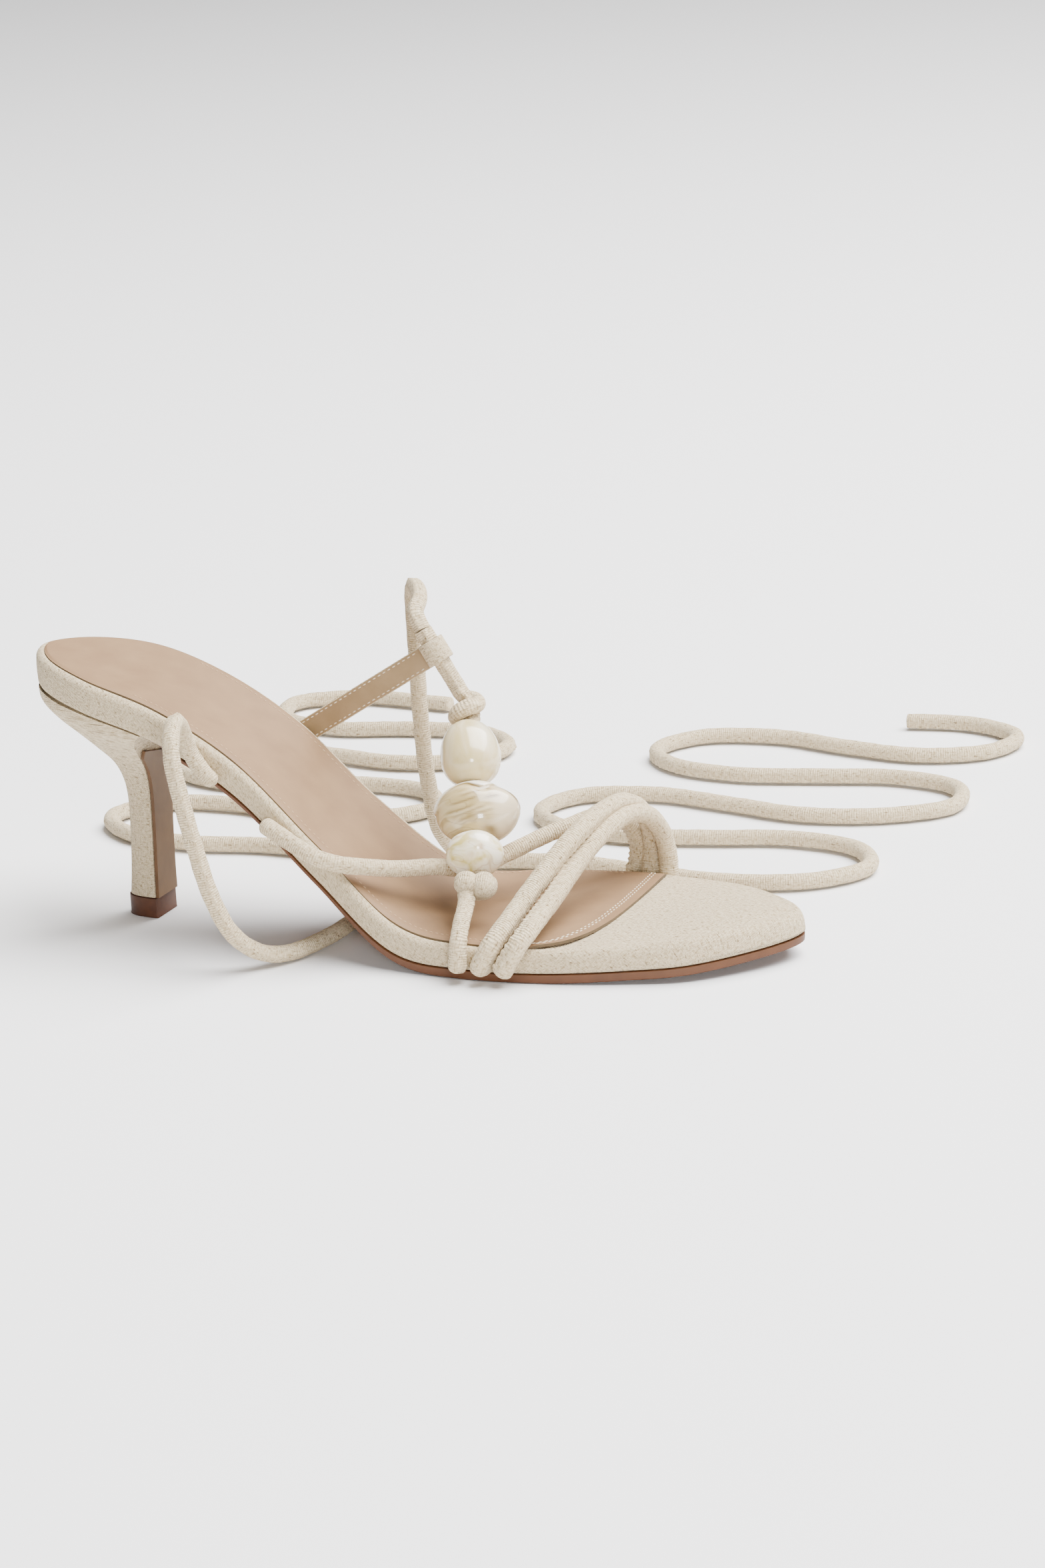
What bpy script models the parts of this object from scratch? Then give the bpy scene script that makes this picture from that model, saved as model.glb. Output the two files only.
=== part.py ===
"""Right strappy heeled sandal: wrapped footbed, thin outsole, slim heel, cord straps, beads and two ties.

Heel to toe runs along +X, up is +Z and the lateral (outer) side is -Y.
All tables are in millimetres, measured from the back of the heel, and are moved to the origin at the end.
"""
import math

import bmesh
import bpy
import numpy as np
from mathutils import Matrix, Vector

# Driving dimensions
MM = 0.001
GAP = 0.3
SHOE_LENGTH = 236.0
TOE_TIP_Y = 5.5
CENTRE_X = 118.0
CENTRE_Y = 0.45
STATIONS = 44
ACROSS = 4
PLAN_STEPS = 30
PATH_STEPS = 14
MERGE_DISTANCE = 0.00001

CORD_RADIUS = 2.45
TOE_STRAP_RADIUS = 2.8
CORD_STEP = 5.0
CORD_SIDES_LEVEL = 2

FEATHER_INSET = 0.8
FEATHER_RISE = 1.2
RIM_RADIUS_HEEL = 2.8
RIM_RADIUS_TOE = 4.2
RIM_GROWS_FROM_X = 165.0
RIM_GROWS_TO_X = 200.0
RIM_TURNS = (0.0, 30.0, 60.0, 90.0)

SOCK_INSET = 2.4
SOCK_THICKNESS = 1.0
SOCK_FRONT_X = 184.8
SOCK_STATIONS = 36
SOCK_CORNER_CROWDING = 1.35
SOCK_HEEL_CROWDING = 0.9
SOCK_NARROWING = 8.0
SOCK_ON_HOLLOW = 0.86
SOCK_ON_CROWN = 1.08

OUTSOLE_INSET = 0.5
OUTSOLE_BACK_X = 45.0
OUTSOLE_STATIONS = 40
OUTSOLE_EDGE_INSET = 0.9
OUTSOLE_EDGE_RISE = 0.7

HEEL_SIDES = 28
HEEL_ROUNDNESS = 2.25
TIP_HEIGHT = 6.0
TIP_PROUD = 0.4
TIP_EDGE_INSET = 0.25
TIP_EDGE_RISE = 0.5
FACING_THICKNESS = 0.9
FACING_INSET = 0.15
FACING_TOP_GAP = 0.4

BEAD_BORE = 3.8
BEAD_CORD_STEP = 3.2
BEAD_BLUNTNESS = 0.86
SWIRL_FOLD = 0.05
SWIRL_TWIST = 2.2
VIEW_RIGHT = (0.906, 0.423, 0.0)
KNOT_RING_RADIUS = 3.5
KNOT_STRAND_RADIUS = 2.38
KNOT_TILT = 24.0

TAB_WIDTH = 7.0
TAB_THICKNESS = 1.4
TAB_ON_WALL = 8.0
TAB_STEP = 4.0
TAB_LOOP_SIDES = 24

TIE_LENGTH = 870.0
TIE_STEP = 12.0
TIE_LEAD = 4.0

# The last: one row for each section from heel to toe
LAST_COLUMNS = ("x", "top_z", "lateral_y", "medial_y", "side_height", "outsole")
LAST = (
    (0.0, 81.3, 0.0, 0.0, 9.9, 1.1),
    (7.0, 80.2, -13.9, 14.3, 9.8, 1.1),
    (25.0, 76.6, -24.1, 24.8, 9.5, 1.1),
    (50.0, 69.0, -26.4, 23.6, 9.2, 1.1),
    (75.0, 55.4, -27.9, 20.9, 9.4, 1.15),
    (100.0, 33.5, -30.3, 19.8, 9.5, 1.3),
    (125.0, 14.3, -35.4, 23.8, 8.9, 2.1),
    (150.0, 10.95, -38.1, 35.2, 8.2, 2.55),
    (170.0, 10.9, -36.7, 37.7, 8.2, 2.55),
    (195.0, 11.7, -31.2, 34.6, 8.0, 2.4),
    (215.0, 11.9, -23.0, 27.4, 7.1, 2.3),
    (236.0, 12.6, 5.5, 5.5, 5.9, 2.1),
)

# How far the middle of the top lies over its edges: the seat a little hollow, the covered toe a little full
TOP_SWELL_COLUMNS = ("x", "rise")
TOP_SWELL = (
    (0.0, 0.0),
    (30.0, -1.0),
    (110.0, -1.0),
    (150.0, 0.0),
    (190.0, 0.9),
    (215.0, 0.9),
    (236.0, 0.0),
)

# Front edge of the sock: share of the width from lateral to medial, and how far it stays back
SOCK_FRONT_COLUMNS = ("across", "back")
SOCK_FRONT = (
    (0.0, 16.5),
    (0.06, 9.5),
    (0.16, 4.2),
    (0.28, 1.4),
    (0.45, 0.0),
    (0.70, 0.2),
    (1.0, 1.8),
)

# The heel: one row for each level, height at the heel's own middle, lean of the level, and its outline
HEEL_MIDDLE_X = 30.0
HEEL_COLUMNS = ("z", "lean", "back_x", "front_x", "half_width")
HEEL = (
    (6.3, 0.0, 24.7, 35.2, 6.1),
    (15.0, 0.0, 25.5, 35.3, 5.9),
    (27.0, 0.0, 26.1, 35.6, 5.8),
    (36.0, 0.0, 26.1, 35.9, 6.1),
    (42.0, -0.03, 25.1, 36.2, 7.0),
    (47.0, -0.08, 22.3, 36.5, 8.8),
    (51.0, -0.13, 16.6, 37.0, 11.6),
    (54.6, -0.17, 10.8, 37.8, 15.2),
    (58.2, -0.20, 4.9, 39.2, 19.4),
    (61.4, -0.22, 1.4, 41.0, 22.4),
    (64.8, -0.24, 0.9, 43.2, 23.4),
)

# Routes of the cords of the upper from the lateral side, each row x, y, z
TOE_STRAP_REAR = (
    (154.9, -41.2, 3.0),
    (156.7, -41.2, 7.4),
    (159.3, -40.2, 12.1),
    (161.1, -34.2, 15.9),
    (162.1, -25.0, 19.4),
    (165.2, -12.3, 26.2),
    (168.6, -1.0, 32.2),
    (171.4, 12.0, 35.9),
    (173.9, 25.0, 36.1),
    (175.4, 34.5, 31.4),
    (175.8, 40.4, 24.6),
    (175.5, 42.1, 18.0),
    (175.3, 41.5, 11.6),
    (175.3, 40.9, 7.2),
    (175.3, 40.8, 3.0),
)
TOE_STRAP_FRONT = (
    (161.6, -40.8, 3.0),
    (164.2, -40.7, 7.4),
    (166.9, -39.8, 11.9),
    (168.7, -35.0, 15.3),
    (168.9, -27.0, 17.2),
    (169.6, -15.8, 20.6),
    (170.8, -2.0, 25.9),
    (173.7, 11.2, 31.4),
    (176.5, 22.9, 33.2),
    (178.8, 32.2, 30.4),
    (180.3, 38.8, 23.4),
    (181.2, 40.5, 16.2),
    (181.4, 40.5, 11.0),
    (181.5, 40.2, 7.0),
    (181.5, 40.0, 3.0),
)
INSTEP_STRAP = (
    (85.0, -31.1, 40.0),
    (90.2, -32.2, 37.7),
    (96.2, -33.4, 34.9),
    (103.2, -34.2, 31.8),
    (109.0, -32.2, 29.8),
    (115.0, -27.4, 27.9),
    (121.4, -20.6, 25.8),
    (130.0, -12.0, 24.4),
    (138.6, -3.2, 22.0),
    (145.0, 5.0, 24.2),
    (151.4, 12.4, 26.8),
    (158.2, 20.6, 29.0),
    (164.6, 31.0, 29.8),
    (168.8, 38.0, 26.6),
    (171.3, 41.4, 20.6),
    (171.1, 41.8, 14.0),
    (169.6, 41.0, 8.4),
    (169.3, 40.6, 3.0),
)

# Bead cord: its foot on the lateral side, then the threaded pieces with place and half sizes
# along the cord, to the right and in depth, then the loop
BEAD_CORD_FOOT = (
    (148.6, -41.0, 3.0),
    (148.9, -41.0, 7.4),
    (149.0, -40.0, 11.9),
    (147.8, -34.6, 15.8),
    (146.2, -27.0, 19.4),
)
THREADED = {
    "lower_knot": (146.8, -20.3, 22.8, 4.0, 5.9, 5.9),
    "small_bead": (142.9, -12.1, 29.1, 5.8, 8.2, 8.2),
    "swirl_bead": (138.4, 1.1, 37.2, 9.5, 12.6, 9.6),
    "oval_bead": (131.7, 13.2, 51.6, 10.2, 8.7, 8.7),
    "upper_knot": (126.4, 23.4, 62.8, 4.0, 5.9, 5.9),
}
LOOP_CENTRE = (117.6, 24.2, 78.6)
BEAD_CORD_PAST_LOOP = 7.0

# Loop tab: where its middle crosses the top edge of the footbed, and its middle line from the loop down,
# as share of the way to that edge, share of the way out to the wall, and distance added to that
TAB_EDGE_X = 77.0
TAB_EDGE_Z = 53.8
TAB_TAIL = (
    (0.35, 0.15, 0.0),
    (0.7, 0.6, 0.0),
    (0.94, 1.0, 0.4),
    (1.0, 1.0, 0.6),
)
TAB_FOOT_OUT = 1.2
TAB_TAIL_IN_LOOP = 0.6

# Ties as they lie: first the fall to the floor, then the run on the floor
TIE_FLOOR_Z = 2.75
TIE_LATERAL_FALL = (
    (70.6, -30.2, 50.4),
    (66.0, -30.4, 55.2),
    (63.4, -31.4, 60.6),
    (63.2, -34.2, 67.0),
    (64.4, -39.4, 71.2),
    (66.2, -45.8, 71.4),
    (68.0, -51.0, 67.4),
    (69.6, -53.2, 60.4),
    (72.2, -53.6, 49.0),
    (75.2, -53.4, 36.0),
    (78.4, -52.2, 23.0),
    (82.6, -48.8, 11.6),
    (88.2, -42.2, 4.6),
)
TIE_LATERAL_RUN = (
    (93.6, -33.6),
    (97.2, -20.0),
    (98.0, 0.0),
    (94.0, 24.0),
    (84.0, 45.0),
    (66.0, 58.0),
    (40.0, 62.0),
    (14.0, 59.0),
    (-10.0, 64.0),
    (-24.0, 80.0),
    (-14.0, 98.0),
    (10.0, 101.0),
    (36.0, 95.0),
    (60.0, 98.0),
    (73.0, 112.0),
    (64.0, 128.0),
    (40.0, 132.0),
    (16.0, 125.0),
    (-8.0, 124.0),
    (-27.0, 134.0),
    (-30.0, 153.0),
    (-12.0, 165.0),
    (14.0, 162.0),
    (40.0, 158.0),
    (62.0, 166.0),
    (68.0, 184.0),
    (52.0, 198.0),
    (26.0, 197.0),
    (2.0, 192.0),
    (-20.0, 200.0),
    (-26.0, 219.0),
    (-8.0, 231.0),
    (18.0, 230.0),
    (46.0, 226.0),
)
TIE_MEDIAL_FALL = (
    (109.6, 32.6, 93.0),
    (104.6, 39.6, 94.0),
    (101.0, 46.0, 87.0),
    (99.5, 49.5, 70.0),
    (99.0, 51.0, 50.0),
    (99.5, 52.5, 30.0),
    (101.5, 55.5, 13.0),
    (107.0, 60.0, 4.6),
)
TIE_MEDIAL_RUN = (
    (118.0, 64.0),
    (142.0, 67.0),
    (168.0, 62.0),
    (194.0, 60.0),
    (217.0, 67.0),
    (228.0, 83.0),
    (219.0, 100.0),
    (196.0, 106.0),
    (170.0, 101.0),
    (144.0, 97.0),
    (121.0, 102.0),
    (108.0, 117.0),
    (114.0, 135.0),
    (137.0, 142.0),
    (163.0, 137.0),
    (190.0, 131.0),
    (215.0, 136.0),
    (232.0, 150.0),
    (228.0, 169.0),
    (206.0, 177.0),
    (180.0, 173.0),
    (154.0, 169.0),
    (130.0, 175.0),
    (118.0, 191.0),
    (127.0, 209.0),
    (152.0, 214.0),
    (178.0, 207.0),
    (204.0, 203.0),
    (224.0, 212.0),
    (228.0, 230.0),
    (210.0, 242.0),
    (184.0, 241.0),
    (158.0, 236.0),
)

MATERIALS = {
    "linen": ((0.74, 0.70, 0.62), 0.85),
    "tan sheet": ((0.60, 0.47, 0.35), 0.60),
    "tan outsole": ((0.40, 0.15, 0.06), 0.55),
    "red brown rubber": ((0.26, 0.10, 0.06), 0.55),
    "swirled resin": ((0.80, 0.76, 0.62), 0.15),
}


def start_clean():
    """Removes what the scene holds and makes the two collections."""
    for thing in list(bpy.data.objects):
        bpy.data.objects.remove(thing, do_unlink=True)
    parts = bpy.data.collections.new("strappy heeled sandal")
    cutters = bpy.data.collections.new("cutters")
    bpy.context.scene.collection.children.link(parts)
    bpy.context.scene.collection.children.link(cutters)
    return parts, cutters


def material(name, label):
    """One Principled material for one piece."""
    colour, roughness = MATERIALS[label]
    made = bpy.data.materials.new(name + " " + label)
    made.use_nodes = True
    shader = made.node_tree.nodes["Principled BSDF"]
    shader.inputs["Base Color"].default_value = colour + (1.0,)
    shader.inputs["Roughness"].default_value = roughness
    return made


def column(table, columns, name):
    """One named column of a table."""
    place = columns.index(name)
    return np.array([row[place] for row in table], float)


def smooth(known, values, at):
    """A smooth curve through a column of values."""
    known = np.asarray(known, float)
    values = np.asarray(values, float)
    slopes = np.gradient(values, known)
    at = np.clip(np.asarray(at, float), known[0], known[-1])
    cell = np.clip(np.searchsorted(known, at, side="right") - 1, 0, len(known) - 2)
    width = known[cell + 1] - known[cell]
    t = (at - known[cell]) / width
    start = (1 + 2 * t) * (1 - t) ** 2 * values[cell] + t * (1 - t) ** 2 * width * slopes[cell]
    end = t * t * (3 - 2 * t) * values[cell + 1] + t * t * (t - 1) * width * slopes[cell + 1]
    return start + end


LAST_X = column(LAST, LAST_COLUMNS, "x")


def last_value(name, x):
    """One size of the last at a distance from the back of the heel."""
    return smooth(LAST_X, column(LAST, LAST_COLUMNS, name), x)


def top_z(x):
    return last_value("top_z", x)


def under_z(x):
    """Underside of the wrapped footbed."""
    return top_z(x) - last_value("side_height", x)


def tread_z(x):
    """Underside of the outsole, flat on the floor under the ball."""
    return np.maximum(0.0, under_z(x) - GAP - last_value("outsole", x))


def smooth_path(points, closed, per_span):
    """A smooth curve through points, round corners, as many steps to each span."""
    points = np.asarray(points, float)
    count = len(points)
    spans = count if closed else count - 1
    chords = [np.linalg.norm(points[(i + 1) % count] - points[i]) ** 0.5 for i in range(spans)]
    made = []
    for i in range(spans):
        a = points[i]
        b = points[(i + 1) % count]
        before = points[i - 1] if closed or i > 0 else 2 * a - b
        after = points[(i + 2) % count] if closed or i < spans - 1 else 2 * b - a
        d0 = chords[i - 1] if closed or i > 0 else chords[i]
        d1 = chords[i]
        d2 = chords[(i + 1) % spans] if closed or i < spans - 1 else chords[i]
        m1 = d1 * ((a - before) / d0 - (b - before) / (d0 + d1) + (b - a) / d1)
        m2 = d1 * ((b - a) / d1 - (after - a) / (d1 + d2) + (after - b) / d2)
        for step in range(per_span):
            t = step / per_span
            made.append((2 * t ** 3 - 3 * t ** 2 + 1) * a + (t ** 3 - 2 * t ** 2 + t) * m1
                        + (3 * t ** 2 - 2 * t ** 3) * b + (t ** 3 - t ** 2) * m2)
    if not closed:
        made.append(points[-1])
    return np.array(made)


def resampled(path, spacing, length=None):
    """Even steps along a path, cut off at a length."""
    runs = np.concatenate([[0.0], np.cumsum(np.linalg.norm(np.diff(path, axis=0), axis=1))])
    whole = runs[-1] if length is None else min(length, runs[-1])
    count = max(2, int(round(whole / spacing)) + 1)
    at = np.linspace(0.0, whole, count)
    return np.stack([np.interp(at, runs, path[:, axis]) for axis in range(path.shape[1])], axis=1)


def plan_sides():
    """Lateral and medial edge of the last in plan, each as a dense line from heel to toe."""
    inner = LAST[1:-1]
    lateral = [(row[0], row[2]) for row in inner]
    medial = [(row[0], row[3]) for row in inner]
    loop = [(0.0, 0.0)] + lateral + [(SHOE_LENGTH, TOE_TIP_Y)] + medial[::-1]
    path = smooth_path(loop, True, PLAN_STEPS)
    toe = PLAN_STEPS * (len(lateral) + 1)
    return path[:toe + 1], np.vstack([path[toe:], path[:1]])[::-1]


LATERAL_LINE, MEDIAL_LINE = plan_sides()


def edge_y(line, x):
    """Where one edge of the last is at a distance from the heel."""
    return np.interp(x, np.maximum.accumulate(line[:, 0]), line[:, 1])


def even_stations(first, last, count):
    """Distances along the shoe, closer together towards both ends."""
    turn = np.linspace(0.0, math.pi, count + 1)
    return first + (last - first) * (1 - np.cos(turn)) / 2


def plan_rows(x_rows):
    """Rows of plan points from lateral to medial, one row for each station."""
    share = np.linspace(0.0, 1.0, x_rows.shape[1])
    lateral = edge_y(LATERAL_LINE, x_rows[:, 0])
    medial = edge_y(MEDIAL_LINE, x_rows[:, -1])
    y_rows = lateral[:, None] + (medial - lateral)[:, None] * share[None, :]
    return np.stack([x_rows, y_rows], axis=2)


def new_object(name, mesh, label, home):
    made = bpy.data.objects.new(name, mesh)
    if label is not None:
        mesh.materials.append(material(name, label))
    home.objects.link(made)
    return made


def mesh_from(name, points, faces):
    """A closed mesh in metres, faces turned out."""
    mesh = bpy.data.meshes.new(name)
    build = bmesh.new()
    corners = [build.verts.new(Vector(p) * MM) for p in points]
    for face in faces:
        if len(set(face)) > 2:
            build.faces.new([corners[i] for i in dict.fromkeys(face)])
    bmesh.ops.recalc_face_normals(build, faces=build.faces)
    build.to_mesh(mesh)
    build.free()
    return mesh


def slab(name, rows, closed_back, closed_front, rings, swell):
    """A body lofted through rings of one plan outline, with both faces filled from side to side.

    rings holds pairs of inset and height function from the underside up; swell lifts the middle of the top.
    """
    last = rows.shape[0] - 1
    wide = rows.shape[1] - 1
    loop = [(i, 0) for i in range(last + 1)]
    if not closed_front:
        loop += [(last, k) for k in range(1, wide)]
    loop += [(i, wide) for i in range(last - int(closed_front), int(closed_back) - 1, -1)]
    if not closed_back:
        loop += [(0, k) for k in range(wide - 1, 0, -1)]
    base = np.array([rows[i, k] for i, k in loop])
    run = np.roll(base, -1, axis=0) - np.roll(base, 1, axis=0)
    run /= np.linalg.norm(run, axis=1)[:, None]
    inward = np.stack([-run[:, 1], run[:, 0]], axis=1)
    count = len(loop)
    points = []
    faces = []
    outlines = []
    for inset, height in rings:
        ring = base + inset * inward
        outlines.append(ring)
        points += [(p[0], p[1], float(height(p[0]))) for p in ring]
    for level in range(len(rings) - 1):
        for j in range(count):
            k = (j + 1) % count
            a = level * count
            b = a + count
            faces.append((a + j, a + k, b + k, b + j))
    at_edge = {pair: j for j, pair in enumerate(loop)}
    for k in range(wide + 1):
        if closed_back:
            at_edge[(0, k)] = at_edge[(0, 0)]
        if closed_front:
            at_edge[(last, k)] = at_edge[(last, 0)]
    for level, lift, flip in ((0, None, True), (len(rings) - 1, swell, False)):
        height = rings[level][1]
        number = {}
        for i in range(last + 1):
            for k in range(wide + 1):
                if (i, k) in at_edge:
                    number[(i, k)] = level * count + at_edge[(i, k)]
                    continue
                share = k / wide
                first = outlines[level][at_edge[(i, 0)]]
                final = outlines[level][at_edge[(i, wide)]]
                bow = rows[i, k] - (rows[i, 0] * (1 - share) + rows[i, wide] * share)
                place = first * (1 - share) + final * share + bow
                z = float(height(place[0]))
                if lift is not None:
                    z += float(lift(place[0])) * 4 * share * (1 - share)
                number[(i, k)] = len(points)
                points.append((place[0], place[1], z))
        for i in range(last):
            for k in range(wide):
                cell = (number[(i, k)], number[(i + 1, k)], number[(i + 1, k + 1)], number[(i, k + 1)])
                faces.append(cell[::-1] if flip else cell)
    return mesh_from(name, points, faces)


def rim_radius(x):
    """Height of the rounded edge, fuller at the toe."""
    return np.interp(x, (RIM_GROWS_FROM_X, RIM_GROWS_TO_X), (RIM_RADIUS_HEEL, RIM_RADIUS_TOE))


def top_swell(x):
    known = column(TOP_SWELL, TOP_SWELL_COLUMNS, "x")
    return np.interp(x, known, column(TOP_SWELL, TOP_SWELL_COLUMNS, "rise"))


def make_footbed(home):
    stations = even_stations(0.0, SHOE_LENGTH, STATIONS)
    rows = plan_rows(np.repeat(stations[:, None], ACROSS + 1, axis=1))
    rings = [(FEATHER_INSET, under_z), (0.0, lambda x: under_z(x) + FEATHER_RISE)]
    for turn in RIM_TURNS:
        out = math.cos(math.radians(turn))
        up = math.sin(math.radians(turn))
        rings.append((RIM_RADIUS_HEEL * (1 - out),
                      lambda x, up=up: top_z(x) - rim_radius(x) * (1 - up)))
    mesh = slab("footbed", rows, True, True, rings, top_swell)
    return new_object("footbed", mesh, "linen", home)


def make_sock(home):
    """Thin sheet on the footbed from the heel to the ball, its front edge rounded at the lateral corner."""
    turn = np.linspace(0.0, math.pi / 2, SOCK_STATIONS)
    reach = (1 - np.cos(turn)) ** SOCK_HEEL_CROWDING
    share = np.linspace(0.0, 1.0, 2 * ACROSS + 1) ** SOCK_CORNER_CROWDING
    back = smooth(column(SOCK_FRONT, SOCK_FRONT_COLUMNS, "across"),
                  column(SOCK_FRONT, SOCK_FRONT_COLUMNS, "back"), share)
    front = SOCK_FRONT_X - back
    start = SOCK_INSET
    x_rows = start + reach[:, None] * (front - start)[None, :]
    lateral = edge_y(LATERAL_LINE, np.maximum(x_rows[:, 0] - start * (1 - reach), 0.0))
    medial = edge_y(MEDIAL_LINE, np.maximum(x_rows[:, -1] - start * (1 - reach), 0.0))
    narrow = SOCK_INSET * np.minimum(1.0, reach * SOCK_NARROWING)
    lateral = np.minimum(lateral + narrow, 0.0)
    medial = np.maximum(medial - narrow, 0.0)
    y_rows = lateral[:, None] + (medial - lateral)[:, None] * share[None, :]
    rows = np.stack([x_rows, y_rows], axis=2)
    spread = 4 * share * (1 - share)

    bed_x = even_stations(0.0, SHOE_LENGTH, STATIONS)
    bed_z = top_z(bed_x)
    points = []
    faces = []
    number = {}
    for level, lift in ((0, GAP), (1, GAP + SOCK_THICKNESS)):
        for i in range(rows.shape[0]):
            for k in range(rows.shape[1]):
                if i == 0 and k > 0:
                    number[(level, i, k)] = number[(level, 0, 0)]
                    continue
                x = rows[i, k, 0]
                y = rows[i, k, 1]
                bed = max(float(top_z(x)), float(np.interp(x, bed_x, bed_z)))
                swell = top_swell(x)
                z = bed + swell * spread[k] * (SOCK_ON_HOLLOW if swell < 0 else SOCK_ON_CROWN) + lift
                number[(level, i, k)] = len(points)
                points.append((x, y, float(z)))
    last = rows.shape[0] - 1
    wide = rows.shape[1] - 1
    for i in range(last):
        for k in range(wide):
            cell = [(i, k), (i + 1, k), (i + 1, k + 1), (i, k + 1)]
            faces.append(tuple(number[(1,) + c] for c in cell))
            faces.append(tuple(number[(0,) + c] for c in cell[::-1]))
        for k in (0, wide):
            faces.append((number[(0, i, k)], number[(0, i + 1, k)], number[(1, i + 1, k)], number[(1, i, k)]))
    for k in range(wide):
        faces.append((number[(0, last, k)], number[(0, last, k + 1)],
                      number[(1, last, k + 1)], number[(1, last, k)]))
    mesh = mesh_from("sock", points, faces)
    return new_object("sock", mesh, "tan sheet", home)


def make_outsole(home):
    turn = np.linspace(0.0, math.pi / 2, OUTSOLE_STATIONS + 1)
    stations = OUTSOLE_BACK_X + (SHOE_LENGTH - OUTSOLE_BACK_X) * np.sin(turn)
    rows = plan_rows(np.repeat(stations[:, None], ACROSS + 1, axis=1))
    rings = [
        (OUTSOLE_INSET + OUTSOLE_EDGE_INSET, tread_z),
        (OUTSOLE_INSET, lambda x: tread_z(x) + OUTSOLE_EDGE_RISE),
        (OUTSOLE_INSET, lambda x: under_z(x) - GAP),
    ]
    mesh = slab("outsole", rows, False, True, rings, None)
    return new_object("outsole", mesh, "tan outsole", home)


def heel_level_z(row, x):
    """Height of one level of the heel, which leans more towards the seat."""
    z, lean = row[0], row[1]
    return z + lean * (x - HEEL_MIDDLE_X)


def heel_outline(row, proud=0.0):
    """Round back and flat front of one level of the heel, in plan."""
    back, front, half = row[2] - proud, row[3] + proud, row[4] + proud
    made = []
    for turn in np.linspace(-math.pi / 2, math.pi / 2, HEEL_SIDES + 1):
        along = abs(math.cos(turn)) ** (2 / HEEL_ROUNDNESS)
        across = math.copysign(abs(math.sin(turn)) ** (2 / HEEL_ROUNDNESS), turn)
        made.append((front - (front - back) * along, half * across))
    return made


def make_heel(home):
    points = []
    faces = []
    count = HEEL_SIDES + 1
    for level, row in enumerate(HEEL):
        for x, y in heel_outline(row):
            z = heel_level_z(row, x)
            if level == len(HEEL) - 1:
                z = float(under_z(x)) - GAP
            points.append((x, y, min(z, float(under_z(x)) - GAP)))
    for level in range(len(HEEL) - 1):
        for j in range(count):
            k = (j + 1) % count
            a = level * count
            b = a + count
            faces.append((a + j, a + k, b + k, b + j))
    top = (len(HEEL) - 1) * count
    for base in (0, top):
        for j in range(count // 2):
            k = count - 1 - j
            if k - j > 2:
                faces.append((base + j, base + j + 1, base + k - 1, base + k))
            elif k - j == 2:
                faces.append((base + j, base + j + 1, base + k))
    mesh = mesh_from("heel", points, faces)
    return new_object("heel", mesh, "linen", home)


def make_heel_tip(home):
    outline = heel_outline(HEEL[0], TIP_PROUD)
    count = len(outline)
    points = []
    middle = (HEEL[0][2] + HEEL[0][3]) / 2
    for z, grow in ((0.0, -TIP_EDGE_INSET), (TIP_EDGE_RISE, 0.0), (TIP_HEIGHT, 0.0)):
        for x, y in outline:
            points.append((x + math.copysign(grow, x - middle), y + grow * y / HEEL[0][4], z))
    faces = []
    for level in range(2):
        for j in range(count):
            k = (j + 1) % count
            a = level * count
            faces.append((a + j, a + k, a + count + k, a + count + j))
    faces.append(tuple(range(count)))
    faces.append(tuple(range(2 * count, 3 * count)))
    mesh = mesh_from("heel_tip", points, faces)
    return new_object("heel_tip", mesh, "red brown rubber", home)


def make_facing(home):
    """The tan sheet on the flat front of the heel, up to the back of the outsole."""
    points = []
    faces = []
    rows = HEEL[:-1]
    for row in rows:
        half = row[4] - FACING_INSET
        for depth in (GAP, GAP + FACING_THICKNESS):
            for y in (-half, -half / 3, half / 3, half):
                x = row[3] + depth
                ceiling = float(under_z(x)) - FACING_TOP_GAP
                points.append((x, y, min(heel_level_z(row, x), ceiling)))
    size = 8
    for level in range(len(rows) - 1):
        a = level * size
        b = a + size
        ring = (0, 1, 2, 3, 7, 6, 5, 4)
        for j in range(size):
            k = (j + 1) % size
            faces.append((a + ring[j], a + ring[k], b + ring[k], b + ring[j]))
    end = (len(rows) - 1) * size
    for base in (0, end):
        for y in range(3):
            faces.append((base + y, base + y + 1, base + y + 5, base + y + 4))
    mesh = mesh_from("heel_breast_facing", points, faces)
    return new_object("heel_breast_facing", mesh, "tan sheet", home)


def cord_curve(name, path, home, label=None, radius=CORD_RADIUS):
    """A round cord along a path, as a bevelled curve with closed ends."""
    data = bpy.data.curves.new(name, "CURVE")
    data.dimensions = "3D"
    data.bevel_depth = radius * MM
    data.bevel_resolution = CORD_SIDES_LEVEL
    data.use_fill_caps = True
    line = data.splines.new("POLY")
    line.points.add(len(path) - 1)
    for point, place in zip(line.points, path):
        point.co = (place[0] * MM, place[1] * MM, place[2] * MM, 1.0)
    made = bpy.data.objects.new(name, data)
    if label is not None:
        data.materials.append(material(name, label))
    home.objects.link(made)
    return made


def as_mesh(thing, home, label=None):
    """A curve made into a mesh, so that it can be joined."""
    name = thing.name
    bpy.context.view_layer.update()
    evaluated = thing.evaluated_get(bpy.context.evaluated_depsgraph_get())
    mesh = bpy.data.meshes.new_from_object(evaluated)
    build = bmesh.new()
    build.from_mesh(mesh)
    bmesh.ops.remove_doubles(build, verts=build.verts, dist=MERGE_DISTANCE)
    bmesh.ops.recalc_face_normals(build, faces=build.faces)
    build.to_mesh(mesh)
    build.free()
    place = thing.matrix_world.copy()
    bpy.data.objects.remove(thing, do_unlink=True)
    mesh.materials.clear()
    made = new_object(name, mesh, label, home)
    made.matrix_world = place
    return made


def tool(thing):
    """Marks an object as one that only joins or cuts another."""
    thing.hide_render = True
    thing.display_type = "WIRE"
    return thing


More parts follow.
